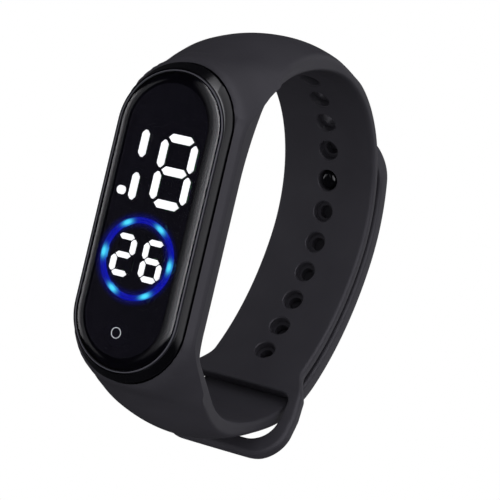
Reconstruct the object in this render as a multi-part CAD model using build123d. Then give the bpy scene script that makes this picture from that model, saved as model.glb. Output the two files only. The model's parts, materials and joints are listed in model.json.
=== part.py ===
from build123d import *
import math
import os

# Digital watch: a display module with a long rounded window, held in a one-piece rubber strap.
# Millimetres. X points to 3 o'clock and across the strap, +Z to 12 o'clock, and -Y out of the
# face. The origin is the centre of the back cover's outer face, which lies on the wrist.
# A depth is measured back from the front of the lens.

# Module, outside
module_depth = 9.8
lens_half_width = 8.5
lens_half_height = 22.35
lens_shoulder_width = 1.8
lens_shoulder_drop = 0.75
lens_window = 0.55
lens_rim_depth = 1.3
lens_rim_width = 0.5
gasket_gap = 0.12
gasket_wall = 0.18
gasket_front = 0.7
gasket_depth = 1.0
bezel_gap = 0.2
bezel_front = 0.85
bezel_lip_width = 0.1
bezel_edge_radius = 0.08
bezel_foot_depth = 2.2
bezel_foot_outset = 0.85
bezel_foot_end_outset = 1.65
bezel_foot_half_width = lens_half_width + bezel_foot_outset
bezel_foot_half_height = lens_half_height + bezel_foot_end_outset
case_seat_depth = 4.75
case_body_inset = 0.75
case_body_end_inset = 0.8
case_body_half_width = bezel_foot_half_width - case_body_inset
case_body_half_height = bezel_foot_half_height - case_body_end_inset
case_back_depth = 8.3
case_back_inset = 0.3
case_back_end_inset = 0.6
case_back_half_width = case_body_half_width - case_back_inset
case_back_half_height = case_body_half_height - case_back_end_inset
case_wall = 0.75
room_inset = 0.45
cover_inset = 0.3
cover_end_inset = 0.4
cover_half_width = case_back_half_width - cover_inset
cover_half_height = case_back_half_height - cover_end_inset
cover_plate = 1.2
cover_edge_radius = 0.7
cover_spigot_depth = 0.6
cover_spigot_inset = 0.75
spigot_clearance = 0.08
seal_wire = 0.45

# Display
display_clearance = 0.05
aperture_clearance = 0.04
mask_inset = 1.1
mask_half_width = lens_half_width - mask_inset
mask_half_height = lens_half_height - mask_inset
mask_face_inset = 0.1
mask_depth = 1.75
diffuser_depth = 0.5
hour_centre_z = 7.77
hour_ones_x = 2.77
hour_tens_x = -3.35
hour_column = 2.6
hour_row = 4.89
hour_bar = 2.35
hour_tens_bar = 3.22
hour_segment_length = 4.45
hour_segment_width = 1.4
minute_centre_z = -5.63
minute_tens_x = -2.5
minute_ones_x = 2.57
minute_column = 1.46
minute_row = 2.76
minute_bar = 1.375
minute_segment_length = 2.62
minute_segment_width = 1.15
hour_dot_x = -5.4
hour_dot_z = 3.6
hour_dot_radius = 0.73
ring_centre_z = -5.8
ring_radius = 5.81
ring_width = 0.9
ring_led_count = 6
touch_mark_x = -0.6
touch_mark_place_share = 0.5376
touch_mark_radius = 0.84
touch_mark_line = 0.24
touch_mark_thickness = 0.04
electrode_radius = 2.1
electrode_thickness = 0.35

# Electronics
board_half_width = mask_half_width
board_half_height = mask_half_height
board_thickness = 0.8
led_length = 1.0
led_width = 0.5
led_height = 0.45
chip_length = 5.0
chip_thickness = 0.9
chip_x = -2.2
chip_pin_pitch = 0.65
chip_pin_width = 0.25
chip_pin_reach = 0.6
chip_pin_count = 6
crystal_radius = 0.75
crystal_length = 4.2
crystal_x = 4.0
battery_radius = 6.25
battery_thickness = 2.0
battery_z = 2.0
battery_cap_radius = 4.6
battery_can_wall = 0.2
battery_gasket_gap = 0.25
holder_clearance = 0.1
holder_wall = 0.8
holder_lead_gap = 4.0
contact_thickness = 0.15
contact_width = 2.4
contact_length = 8.0
contact_rise = 0.35
screw_inset = 2.5
screw_end_inset = 4.6
screw_x = cover_half_width - screw_inset
screw_z = cover_half_height - screw_end_inset
screw_radius = 0.5
screw_head_radius = 0.95
screw_head_depth = 0.5
screw_length = 3.2
screw_slot_width = 0.25
screw_slot_depth = 0.25
screw_clearance = 0.06
boss_radius = 1.35

# Strap
arm_half_width = 8.6
arm_thickness = 2.7
arm_crown = 0.9
edge_radius = 0.8
inner_radius = 0.6
carrier_back_depth = 6.4
carrier_rim = 1.05
collar_lip = 0.05
collar_reach = 40.0
pocket_clearance = 0.2
pocket_back_gap = 0.05
pocket_half_width = bezel_foot_half_width + pocket_clearance
pocket_half_height = bezel_foot_half_height + pocket_clearance
collar_half_width = pocket_half_width + collar_lip
collar_half_height = pocket_half_height + collar_lip
carrier_half_width = collar_half_width + carrier_rim
ledge_clearance = 0.15
ledge_cut_depth = 16.0
tail_half_width = 8.5
tail_thickness = 3.1
tail_crown = 0.3
tail_gap = 0.3
tail_tip_radius = 8.0
tail_past_stud = 8.4
hinge_below_stud = 32.0
hinge_gap = 0.05

# Inner line of the strap, upward and downward from the straight behind the module: the straights
# and the radius of each arc as shares of the collar's half height, and the degrees of each turn
upper_straight_share = 0.3505
lower_straight_share = 0.5773
upper_radius_shares = [1.5258, 0.268, 1.4021, 1.7938, 0.9485, 1.6206]
upper_arc_turns = [16.2, 38.8, 14.0, 18.2, 102.6, 39.2]
lower_radius_shares = [0.4948, 0.1443, 7.4227, 0.8247, 1.567]
lower_arc_turns = [12.4, 40.6, 2.8, 32.0, 17.0]
upper_straight = upper_straight_share * collar_half_height
lower_straight = lower_straight_share * collar_half_height
upper_arc_radii = [share * collar_half_height for share in upper_radius_shares]
lower_arc_radii = [share * collar_half_height for share in lower_radius_shares]
upper_arcs = list(zip(upper_arc_radii, upper_arc_turns))
lower_arcs = list(zip(lower_arc_radii, lower_arc_turns))
arm_start_turn = 112.0
section_step_turn = 6.5

# Collar around the module: the depths and how far it stands out from its front outline there
collar_flare_depths = [2.2, 2.9, 3.7, 4.6, 7.7, 11.5, 15.0]
collar_flare_outsets = [0, 0.6, 0.95, 1.2, 2.3, 4.2, 6.2]

# Upper and lower root of the strap, section by section: the degrees turned, the tilt of the
# section, its thickness, its share of the way from the arm's width to the carrier's, the rise of
# its arch and its edge rounding
upper_turns = [0, 8.0, 16.2, 35.0, 55.0, 62.0, 69.0, 78.0, 87.0, 96.0, 105.0]
upper_tilts = [0, 10.0, 24.0, 32.6, 50.0, 61.0, 69.0, 78.0, 87.0, 96.0, 105.0]
upper_thicknesses = [4.2, 4.65, 6.2, 7.2, 4.7, 3.9, 4.1, 4.3, 4.1, 3.3, 2.8]
upper_width_shares = [1.0, 1.0, 0.976, 0.927, 0.78, 0.561, 0.341, 0.146, 0, 0, 0]
upper_crowns = [0.1, 0.2, 0.4, 1.0, 2.1, 2.2, 2.0, 1.8, 1.9, 1.6, 1.3]
upper_edge_radii = [0.3, 0.3, 0.3, 0.5, 0.8, 0.8, 0.8, 0.8, 0.8, 0.8, 0.8]
lower_turns = [0, 12.4, 53.0, 54.4, 55.8, 66.0, 78.0, 87.8, 93.0, 99.0, 104.8, 115.0]
lower_tilts = [0, 20.0, 45.0, 54.0, 55.8, 66.0, 78.0, 87.8, 93.0, 99.0, 104.8, 115.0]
lower_thicknesses = [4.2, 4.85, 7.8, 5.5, 4.6, 4.3, 4.3, 4.2, 3.8, 3.3, 3.0, 2.95]
lower_width_shares = [1.0, 0.976, 0.878, 0.732, 0.488, 0.244, 0.049, 0, 0, 0, 0, 0]
lower_crowns = [0.1, 0.4, 1.2, 2.0, 2.0, 1.8, 1.8, 1.8, 1.7, 1.4, 1.0, 0.6]
lower_edge_radii = [0.3, 0.3, 0.5, 0.8, 0.8, 0.8, 0.8, 0.8, 0.8, 0.8, 0.8, 0.8]

# Loop at the end of the long arm, with the slot that the short arm passes through
loop_bend_radius = 5.0
loop_bend = 22.0
loop_half_width = 11.6
loop_shoulder_half_width = 11.1
loop_shoulder = 3.0
loop_length = 11.3
loop_thickness = 2.5
loop_crown = 0.06
loop_corner_radius = 5.6
loop_edge_radius = 0.8
slot_start = -0.5
slot_length = 9.2
slot_half_width = 9.15
slot_top_radius = 1.7
slot_bottom_radius = 4.2
flare_turn = 5.0
flare_shares = [0.15, 0.45, 0.75, 1.0]

# Holes and stud
hole_count = 11
hole_pitch_share = 0.2186
hole_pitch = hole_pitch_share * collar_half_height
stud_turn = 162.0
stud_hole_number = 5
counterbore_radius = 1.72
counterbore_depth = 1.35
bore_radius = 1.12
stud_hole_radius = 1.78
stud_neck_radius = 0.95
stud_head_radius = 1.5
stud_head_length = 1.5
stud_dome_radius = 0.9
stud_recess = 0.25
stud_cap_radius = 2.6
stud_cap_thickness = 0.8
stud_cap_proud = 0.3
stud_fit = 0.02

overrun = 2.0
quarter_turn = 90.0
full_turn = 360.0


def front_plane(depth):
    """A plane facing out of the watch face, at a depth behind the lens front."""
    return Plane(origin=(0, depth - module_depth, 0), x_dir=(1, 0, 0), z_dir=(0, -1, 0))


def stadium(half_width, half_height):
    """An upright slot outline with full-round ends."""
    return SlotOverall(width=2 * half_height, height=2 * half_width, rotation=quarter_turn)


def slab(outline, front, back):
    """An outline in the face plane, filled between two depths."""
    return extrude(front_plane(back) * outline, amount=back - front)


def stadium_slab(half_width, half_height, front, back):
    return slab(stadium(half_width, half_height), front, back)


def stadium_taper(front_size, back_size, front, back):
    """A solid whose outline changes from one stadium to another between two depths."""
    first = front_plane(back) * stadium(*back_size)
    second = front_plane(front) * stadium(*front_size)
    return loft([first, second], ruled=True)


def largest(shape):
    """The biggest solid of a result."""
    return max(shape.solids(), key=lambda solid: solid.volume)


# Module housing
def bezel_sizes():
    """Half width and half height of the bezel's opening at the front."""
    inset = gasket_gap + gasket_wall + bezel_gap
    return lens_half_width + inset, lens_half_height + inset


def make_case_shell():
    mouth_width, mouth_height = bezel_sizes()
    top = (mouth_width + bezel_lip_width, mouth_height + bezel_lip_width)
    foot = (bezel_foot_half_width, bezel_foot_half_height)
    body = (case_body_half_width, case_body_half_height)
    rear = (case_back_half_width, case_back_half_height)
    flank = stadium_taper(top, foot, bezel_front, bezel_foot_depth)
    flank = fillet(flank.faces().sort_by(Axis.Y)[0].outer_wire().edges(), bezel_edge_radius)
    shell = flank + stadium_slab(*foot, bezel_foot_depth, case_seat_depth)
    shell += stadium_taper(body, rear, case_seat_depth, case_back_depth)
    gasket_back = gasket_front + gasket_depth
    shell -= stadium_slab(mouth_width, mouth_height, 0, gasket_back)
    seat_width = lens_half_width - lens_rim_width
    seat_height = lens_half_height - lens_rim_width
    room_width = seat_width - room_inset
    room_height = seat_height - room_inset
    shell -= stadium_slab(room_width, room_height, 0, case_back_depth)
    shelf = stadium_slab(lens_half_width, lens_half_height, lens_rim_depth, gasket_back + case_wall)
    shell += shelf - stadium_slab(seat_width, seat_height, 0, gasket_back + case_wall)
    shell += case_bosses(room_width, room_height)
    spigot_width = case_back_half_width - cover_spigot_inset + spigot_clearance
    spigot_height = case_back_half_height - cover_spigot_inset + spigot_clearance
    shell -= stadium_slab(spigot_width, spigot_height, cover_spigot_front(), case_back_depth)
    return largest(shell)


def board_front():
    """Depth of the circuit board's component side."""
    return lens_window + display_clearance + mask_depth + display_clearance + led_height


def board_back():
    return board_front() + board_thickness


def cover_front():
    """Depth of the cover plate's inner face."""
    return module_depth - cover_plate


def cover_spigot_front():
    return cover_front() - cover_spigot_depth


def screw_places():
    return [(sx * screw_x, sz * screw_z) for sx in (-1, 1) for sz in (-1, 1)]


def case_bosses(room_width, room_height):
    """Four screw posts that stand on the case wall behind the board."""
    front = board_back() + display_clearance
    posts = Sketch() + [Pos(x, z) * Circle(boss_radius) for x, z in screw_places()]
    reach = case_wall / 2
    posts = slab(posts & stadium(room_width + reach, room_height + reach), front, cover_spigot_front())
    for x, z in screw_places():
        posts -= slab(Pos(x, z) * Circle(screw_radius + stud_fit), front, cover_spigot_front())
    return posts


def make_lens():
    """A flat window whose edge rolls down to a rim that stands on the case's seat."""
    outer = stadium_slab(lens_half_width, lens_half_height, lens_shoulder_drop, lens_rim_depth)
    steps = 5
    layers = []
    for step in range(steps + 1):
        angle = math.radians(quarter_turn * step / steps)
        inset = lens_shoulder_width * (1 - math.sin(angle))
        depth = lens_shoulder_drop * (1 - math.cos(angle))
        layers.append((lens_half_width - inset, lens_half_height - inset, depth))
    for upper, lower in zip(layers, layers[1:]):
        outer += stadium_taper(upper[:2], lower[:2], upper[2], lower[2])
    inside_width = lens_half_width - lens_rim_width
    inside_height = lens_half_height - lens_rim_width
    flat = (lens_half_width - lens_shoulder_width, lens_half_height - lens_shoulder_width)
    room = stadium_taper(flat, (inside_width, inside_height), lens_window, lens_rim_depth)
    return largest(outer - room)


def make_lens_gasket():
    """The thin upright ring between the lens and the bezel."""
    inner_width = lens_half_width + gasket_gap
    inner_height = lens_half_height + gasket_gap
    back = gasket_front + gasket_depth
    ring = stadium_slab(inner_width + gasket_wall, inner_height + gasket_wall, gasket_front, back)
    return ring - stadium_slab(inner_width, inner_height, gasket_front, back)


def make_back_cover():
    front = cover_front()
    plate = stadium_slab(cover_half_width, cover_half_height, front, module_depth)
    plate = fillet(plate.faces().sort_by(Axis.Y)[-1].outer_wire().edges(), cover_edge_radius)
    spigot_width = case_back_half_width - cover_spigot_inset
    spigot_height = case_back_half_height - cover_spigot_inset
    spigot = stadium_slab(spigot_width, spigot_height, cover_spigot_front(), front)
    hollow = (spigot_width - case_wall, spigot_height - case_wall)
    spigot -= stadium_slab(*hollow, cover_spigot_front(), front)
    cover = plate + spigot
    for x, z in screw_places():
        ear = Pos(x, z) * Circle(screw_head_radius + screw_clearance + case_wall / 2)
        cover += slab(ear & stadium(spigot_width, spigot_height), cover_spigot_front(), front)
    for x, z in screw_places():
        cover -= slab(Pos(x, z) * Circle(screw_radius + screw_clearance), cover_spigot_front(), module_depth)
        head = Pos(x, z) * Circle(screw_head_radius + screw_clearance)
        cover -= slab(head, module_depth - screw_head_depth, module_depth)
    return largest(cover)


def make_cover_seal():
    """A flat ring pressed between the case's back edge and the cover plate."""
    outer_width = case_back_half_width - cover_spigot_inset + spigot_clearance + seal_wire
    outer_height = case_back_half_height - cover_spigot_inset + spigot_clearance + seal_wire
    inner_width = case_back_half_width - cover_spigot_inset + spigot_clearance / 2
    inner_height = case_back_half_height - cover_spigot_inset + spigot_clearance / 2
    front = case_back_depth
    back = cover_front()
    return stadium_slab(outer_width, outer_height, front, back) - stadium_slab(
        inner_width, inner_height, front, back)


def make_cover_screws():
    screws = []
    head_front = module_depth - screw_head_depth
    for x, z in screw_places():
        head = slab(Pos(x, z) * Circle(screw_head_radius), head_front, module_depth)
        shank = slab(Pos(x, z) * Circle(screw_radius), module_depth - screw_length, head_front)
        slot = Rectangle(screw_slot_width, 2 * screw_head_radius)
        cross = Pos(x, z) * (slot + Rot(0, 0, quarter_turn) * slot)
        screws.append(head + shank - slab(cross, module_depth - screw_slot_depth, module_depth))
    return screws


# Display
def bar_outline(length, width, upright):
    """One segment: a bar with pointed ends."""
    half = length / 2
    side = width / 2
    points = [(-half, 0), (side - half, side), (half - side, side), (half, 0)]
    points += [(half - side, -side), (side - half, -side)]
    outline = make_face(Polyline(*points, close=True))
    return Rot(0, 0, quarter_turn) * outline if upright else outline


def digit_segments(x, z, column, row, bar, names):
    """Places of the named segments of one digit, each with whether it stands upright."""
    places = {
        "top": (0, row, False), "middle": (0, 0, False), "bottom": (0, -row, False),
        "upper_left": (-column, bar, True), "upper_right": (column, bar, True),
        "lower_left": (-column, -bar, True), "lower_right": (column, -bar, True),
    }
    return [(x + places[name][0], z + places[name][1], places[name][2]) for name in names]


every_segment = ["top", "middle", "bottom", "upper_left", "upper_right", "lower_left", "lower_right"]
two_segments = ["top", "upper_right", "middle", "lower_left", "bottom"]
six_segments = ["top", "upper_left", "middle", "lower_left", "lower_right", "bottom"]


def hour_places():
    ones = digit_segments(hour_ones_x, hour_centre_z, hour_column, hour_row, hour_bar, every_segment)
    tens = [(hour_tens_x, hour_centre_z + side * hour_tens_bar, True) for side in (-1, 1)]
    return ones + tens


def minute_places(tens_names, ones_names):
    sizes = (minute_column, minute_row, minute_bar)
    tens = digit_segments(minute_tens_x, minute_centre_z, *sizes, tens_names)
    return tens + digit_segments(minute_ones_x, minute_centre_z, *sizes, ones_names)


def unlit_places():
    tens = [name for name in every_segment if name not in two_segments]
    ones = [name for name in every_segment if name not in six_segments]
    return minute_places(tens, ones)


def segment_outlines(places, length, width, grow=0):
    size = (length + 2 * grow, width + 2 * grow)
    return [Pos(x, z) * bar_outline(*size, upright) for x, z, upright in places]


def ring_band(grow=0):
    outer = Circle(ring_radius + ring_width / 2 + grow)
    return Pos(0, ring_centre_z) * (outer - Circle(ring_radius - ring_width / 2 - grow))


def hour_outlines(grow=0):
    dot = Pos(hour_dot_x, hour_dot_z) * Circle(hour_dot_radius + grow)
    return segment_outlines(hour_places(), hour_segment_length, hour_segment_width, grow) + [dot]


def minute_outlines(places, grow=0):
    return segment_outlines(places, minute_segment_length, minute_segment_width, grow)


def mask_front():
    return lens_window + display_clearance


def make_light_mask():
    """A black block with a light well under every segment, the ring and the touch key."""
    front = mask_front()
    inset = lens_shoulder_width + mask_face_inset
    step = lens_rim_depth + display_clearance
    mask = stadium_slab(lens_half_width - inset, lens_half_height - inset, front, step)
    mask += stadium_slab(mask_half_width, mask_half_height, step, front + mask_depth)
    lit = minute_places(two_segments, six_segments)
    wells = hour_outlines(aperture_clearance)
    wells += minute_outlines(lit + unlit_places(), aperture_clearance)
    wells += [touch_place() * Circle(electrode_radius + aperture_clearance)]
    for well in wells:
        mask -= slab(well, front, front + mask_depth)
    mask -= slab(ring_band(aperture_clearance), front, front + diffuser_depth + aperture_clearance)
    for x, z in ring_led_places():
        mask -= slab(Pos(x, z) * Circle(led_length), front, front + mask_depth)
    return largest(mask)


def make_diffusers(outlines):
    front = mask_front()
    return [slab(outline, front, front + diffuser_depth) for outline in outlines]


def ring_led_places():
    turns = [math.radians(full_turn * k / ring_led_count) for k in range(ring_led_count)]
    return [(ring_radius * math.cos(t), ring_centre_z + ring_radius * math.sin(t)) for t in turns]


def led_block(x, z, upright):
    size = (led_width, led_length) if upright else (led_length, led_width)
    return slab(Pos(x, z) * Rectangle(*size), board_front() - led_height, board_front())


def make_digit_leds():
    lit = hour_places() + minute_places(every_segment, every_segment)
    lit.append((hour_dot_x, hour_dot_z, False))
    return [led_block(x, z, upright) for x, z, upright in lit]


def touch_mark_z():
    """Height of the touch mark, between the ring's foot and the end of the mask."""
    foot = ring_centre_z - ring_radius - ring_width / 2
    return foot - touch_mark_place_share * (mask_half_height + foot)


def touch_place():
    return Pos(touch_mark_x, touch_mark_z())


def make_touch_mark():
    front = lens_window
    ring = Circle(touch_mark_radius + touch_mark_line / 2) - Circle(touch_mark_radius - touch_mark_line / 2)
    return slab(touch_place() * ring, front, front + touch_mark_thickness)


def make_touch_electrode():
    """A pad behind the window with a sprung post down to the board."""
    front = mask_front()
    pad = slab(touch_place() * Circle(electrode_radius), front, front + electrode_thickness)
    return pad + slab(touch_place() * Circle(led_length), front, board_front())


# Electronics
def make_circuit_board():
    outline = stadium(board_half_width, board_half_height)
    return slab(outline, board_front(), board_back())


def chip_z():
    """Height of the row of chips, midway between the cell's fence and the lower screws."""
    fence_foot = battery_z - battery_radius - holder_clearance - holder_wall
    return (fence_foot - screw_z) / 2


def make_microcontroller():
    front = board_back()
    body = slab(Pos(chip_x, chip_z()) * Rectangle(chip_length, chip_length), front, front + chip_thickness)
    pins = []
    for side in (-1, 1):
        for k in range(chip_pin_count):
            x = chip_x + side * (chip_length + chip_pin_reach) / 2
            z = chip_z() + (k - (chip_pin_count - 1) / 2) * chip_pin_pitch
            pins.append(slab(Pos(x, z) * Rectangle(chip_pin_reach, chip_pin_width), front, front + chip_pin_width))
    for pin in pins:
        body += pin
    return body


def make_clock_crystal():
    centre = board_back() + crystal_radius - module_depth
    can = Cylinder(crystal_radius, crystal_length)
    return Pos(crystal_x, centre, chip_z()) * can


def battery_front():
    return board_back() + contact_thickness + contact_rise + contact_thickness


def battery_plane_slab(radius, front, back):
    return slab(Pos(0, battery_z) * Circle(radius), front, back)


def make_battery_can():
    """The positive cup of the coin cell, open towards the board."""
    front = battery_front()
    back = front + battery_thickness
    can = battery_plane_slab(battery_radius, front, back)
    return can - battery_plane_slab(battery_radius - battery_can_wall, front, back - battery_can_wall)


def make_battery_cap():
    """The negative lid, with the cell's filling, inside the cup."""
    front = battery_front() - contact_thickness
    inner_back = battery_front() + battery_thickness - battery_can_wall
    fill_radius = battery_radius - battery_can_wall
    fill = battery_plane_slab(fill_radius, front + contact_thickness + battery_gasket_gap, inner_back)
    return fill + battery_plane_slab(battery_cap_radius, front, inner_back)


def make_battery_holder():
    """A round fence around the coin cell, open at the side where the contact passes."""
    inner = battery_radius + holder_clearance
    outline = Circle(inner + holder_wall) & Pos(0, -battery_z) * stadium(board_half_width, board_half_height)
    outline -= Circle(inner)
    outline -= Pos(0, inner) * Rectangle(holder_lead_gap, 2 * holder_wall + inner)
    back = battery_front() + battery_thickness
    fence = slab(Pos(0, battery_z) * outline, board_back(), back)
    return fence.solids()


def contact_strip(flat, rise):
    """A sprung strip: a foot on one surface, bowed up to touch another."""
    half = contact_length / 2
    line = Polyline((-half, 0), (-half / 2, 0), (0, rise), (half / 2, 0), (half, 0))
    strip = offset(line, amount=contact_thickness / 2, side=Side.BOTH)
    section = Plane(origin=(-contact_width / 2, flat, battery_z), x_dir=(0, 0, 1), z_dir=(1, 0, 0)) * make_face(strip)
    return extrude(section, amount=contact_width)


def make_contact_front():
    flat = board_back() + contact_thickness / 2 - module_depth
    return contact_strip(flat, -contact_rise)


def make_contact_back():
    flat = cover_front() - contact_thickness / 2 - module_depth
    rise = cover_front() - battery_front() - battery_thickness - contact_thickness
    return contact_strip(flat, rise)


# Strap path
def arc_step(place, radius, turn):
    """Follow an arc from a place on the strap. A negative turn bends outward.

    A place is (y, z, heading, side). The heading is 0 where the strap runs upright behind the
    module; side is 1 on the part that leaves it upward and -1 on the part that leaves it downward.
    """
    y, z, heading, side = place
    bend = math.copysign(radius, turn)
    start = math.radians(heading)
    end = math.radians(heading + turn)
    y += bend * (math.cos(start) - math.cos(end))
    z += side * bend * (math.sin(end) - math.sin(start))
    return y, z, heading + turn, side


def follow(place, arcs, turned):
    """The place on a chain of arcs after it has turned so many degrees."""
    for radius, turn in arcs:
        part = min(turn, turned - place[2])
        if part <= 0:
            break
        place = arc_step(place, radius, part)
    return place


def outward(place, tilt=None):
    """Unit vector out of the strap at a place, or at a given tilt."""
    y, z, heading, side = place
    angle = math.radians(heading if tilt is None else tilt)
    return 0, -math.cos(angle), side * math.sin(angle)


def arc_centre(place, radius):
    """Centre of an arc with the given radius on the inner side of a place."""
    x, out_y, out_z = outward(place)
    return place[0] - radius * out_y, place[1] - radius * out_z


def section_plane(place, tilt=None, out=0):
    """Plane across the strap: local x across the strap, local y outward."""
    x, out_y, out_z = outward(place, tilt)
    origin = (0, place[0] + out * out_y, place[1] + out * out_z)
    return Plane(origin=origin, x_dir=(1, 0, 0), z_dir=(0, -out_z, out_y))


def face_plane(place, out=0):
    """Plane against the strap: local y along the path and the normal outward."""
    direction = outward(place)
    origin = (0, place[0] + out * direction[1], place[1] + out * direction[2])
    return Plane(origin=origin, x_dir=(place[3], 0, 0), z_dir=direction)


def upper_start():
    return carrier_back_depth - module_depth, upper_straight, 0, 1


def lower_start():
    return carrier_back_depth - module_depth, -lower_straight, 0, -1


def upper_place(turned):
    return follow(upper_start(), upper_arcs, turned)


def total_turn(arcs):
    return sum(turn for radius, turn in arcs)


def touching_arc(place, centre, reach):
    """Radius and turn of the arc from a place that meets a larger circle from inside."""
    x, out_y, out_z = outward(place)
    dy = place[0] - centre[0]
    dz = place[1] - centre[1]
    radius = (reach ** 2 - dy ** 2 - dz ** 2) / (2 * (reach - dy * out_y - dz * out_z))
    hub = arc_centre(place, radius)
    end = math.degrees(math.atan2(place[3] * (hub[1] - centre[1]), centre[0] - hub[0]))
    return radius, end % full_turn - place[2]


def lower_path():
    """The short arm's arcs: under the module, up against the long arm and along its outside."""
    lift = arm_thickness + tail_gap
    bend_radius, bend_turn = upper_arcs[-1]
    centre = arc_centre(upper_place(total_turn(upper_arcs)), bend_radius)
    place = follow(lower_start(), lower_arcs, total_turn(lower_arcs))
    rise = touching_arc(place, centre, bend_radius + lift)
    met = place[2] + rise[1]
    crossing = full_turn - (total_turn(upper_arcs) - bend_turn)
    top_radius, top_turn = upper_arcs[-2]
    return lower_arcs + [rise, (bend_radius + lift, crossing - met), (top_radius + lift, top_turn)]


def lower_place(turned):
    return follow(lower_start(), lower_path(), turned)


def stud_place():
    """Where the stud stands on the inner line of the short arm."""
    return lower_place(full_turn - stud_turn)


# Strap sections
def band_section(thickness, half_width, crown, outer_edge=edge_radius, inner_edge=inner_radius):
    """Cross-section of the band: flat inside, arched outside, with rounded edges."""
    edge = thickness - crown
    sides = Polyline((-half_width, edge), (-half_width, 0), (half_width, 0), (half_width, edge))
    arch = ThreePointArc((half_width, edge), (0, thickness), (-half_width, edge))
    face = make_face(sides + arch)
    face = fillet(face.vertices().group_by(Axis.Y)[0], inner_edge)
    return fillet(face.vertices().sort_by(Axis.Y)[-2:], outer_edge)


def arm_section():
    return band_section(arm_thickness, arm_half_width, arm_crown)


def tail_section():
    return band_section(tail_thickness, tail_half_width, tail_crown)


def root_rows(turns, tilts, thicknesses, width_shares, crowns, edge_radii):
    """Rows of turn, tilt and section sizes, with evenly blended rows between them."""
    spare = carrier_half_width - arm_half_width
    half_widths = [arm_half_width + share * spare for share in width_shares]
    return blended_rows(list(zip(turns, tilts, thicknesses, half_widths, crowns, edge_radii)))


def upper_rows():
    return root_rows(
        upper_turns, upper_tilts, upper_thicknesses, upper_width_shares, upper_crowns, upper_edge_radii)


def lower_rows():
    return root_rows(
        lower_turns, lower_tilts, lower_thicknesses, lower_width_shares, lower_crowns, lower_edge_radii)


def blended_rows(rows):
    """The listed sections with evenly blended ones between them."""
    dense = []
    for first, second in zip(rows, rows[1:]):
        span = max(second[0] - first[0], second[1] - first[1])
        steps = max(1, round(span / section_step_turn))
        for step in range(steps):
            dense.append([a + (b - a) * step / steps for a, b in zip(first, second)])
    return dense + [rows[-1]]


def root_loft(rows, locate, last_turn, last_section):
    """Loft through the rows of sections and on to a constant one."""
    faces = []
    for turned, tilt, *sizes in rows:
        section = band_section(*sizes)
        faces.append(section_plane(locate(turned), tilt) * section)
    faces.append(section_plane(locate(last_turn)) * last_section)
    return loft(faces, ruled=True)


def band_arcs(locate, stops, section):
    """Constant band turned along the arcs that lie between the listed headings."""
    pieces = []
    for first, second in zip(stops, stops[1:]):
        place = locate(first[0])
        centre = arc_centre(place, second[1])
        axis = Axis((0, centre[0], centre[1]), (-place[3], 0, 0))
        face = section_plane(place) * section
        pieces.append(revolve(face, axis=axis, revolution_arc=second[0] - first[0]))
    return pieces


def join(pieces):
    whole = pieces[0]
    for piece in pieces[1:]:
        whole += piece
    return whole


def carrier_block():
    """The straight middle of the strap, beside and behind the module."""
    section = section_plane(lower_start()) * band_section(*upper_rows()[0][2:])
    return extrude(section, amount=upper_straight + lower_straight, dir=(0, 0, 1))


def collar_envelope():
    """A stack of stadiums that the front of the strap must stay within."""
    flare = zip(collar_flare_outsets, collar_flare_depths)
    sizes = [(collar_half_width + out, collar_half_height + out, depth) for out, depth in flare]
    layers = [stadium_taper(a[:2], b[:2], a[2], b[2]) for a, b in zip(sizes, sizes[1:])]
    rear = sizes[-1][2]
    wide = collar_half_height + collar_reach
    layers.append(slab(Rectangle(2 * collar_reach, 2 * wide), rear, rear + wide))
    return join(layers)


def loop_start():
    return arc_step(upper_place(total_turn(upper_arcs)), loop_bend_radius, -loop_bend)


def loop_neck():
    """The long arm widening and bending outward into the loop."""
    end = total_turn(upper_arcs)
    last = upper_place(end)
    places = [upper_place(end - flare_turn / 2), last]
    places += [arc_step(last, loop_bend_radius, -loop_bend / 2), loop_start()]
    faces = [section_plane(upper_place(end - flare_turn)) * arm_section()]
    for place, share in zip(places, flare_shares):
        thickness = arm_thickness + share * (loop_thickness - arm_thickness)
        half_width = arm_half_width + share * (loop_shoulder_half_width - arm_half_width)
        crown = arm_crown + share * (loop_crown - arm_crown)
        section = band_section(thickness, half_width, crown, loop_edge_radius, loop_edge_radius)
        faces.append(section_plane(place) * section)
    return loft(faces)


def loop_plate():
    """The flat loop with its rounded end, before its slot."""
    near = loop_shoulder_half_width
    wide = loop_half_width
    side = [(near, -overrun), (near, 0), (wide, loop_shoulder), (wide, loop_length)]
    outline = make_face(Polyline(*side, *[(-x, y) for x, y in reversed(side)], close=True))
    outline = fillet(outline.vertices().group_by(Axis.Y)[-1], loop_corner_radius)
    plate = extrude(outline, amount=loop_thickness)
    rims = plate.edges().group_by(Axis.Z)[0] + plate.edges().group_by(Axis.Z)[-1]
    plate = fillet(rims, loop_edge_radius)
    plate = split(plate, bisect_by=Plane.XZ, keep=Keep.BOTTOM)
    return face_plane(loop_start()).location * plate


def loop_slot():
    outline = Pos(0, slot_start + slot_length / 2) * Rectangle(2 * slot_half_width, slot_length)
    outline = fillet(outline.vertices().group_by(Axis.Y)[0], slot_top_radius)
    outline = fillet(outline.vertices().group_by(Axis.Y)[-1], slot_bottom_radius)
    return extrude(face_plane(loop_start(), -overrun) * outline, amount=loop_thickness + 2 * overrun)


def path_length_place(length):
    """The place on the long arm at a distance along its inner line."""
    place = upper_start()
    for radius, turn in upper_arcs:
        part = min(math.radians(turn), length / radius)
        place = arc_step(place, radius, math.degrees(part))
        length -= part * radius
    return place


def stud_length():
    """Distance along the long arm's inner line to the stud."""
    length = 0
    turned = 0
    for radius, turn in upper_arcs:
        part = max(0, min(turn, stud_turn - turned))
        length += radius * math.radians(part)
        turned += turn
    return length


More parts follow.
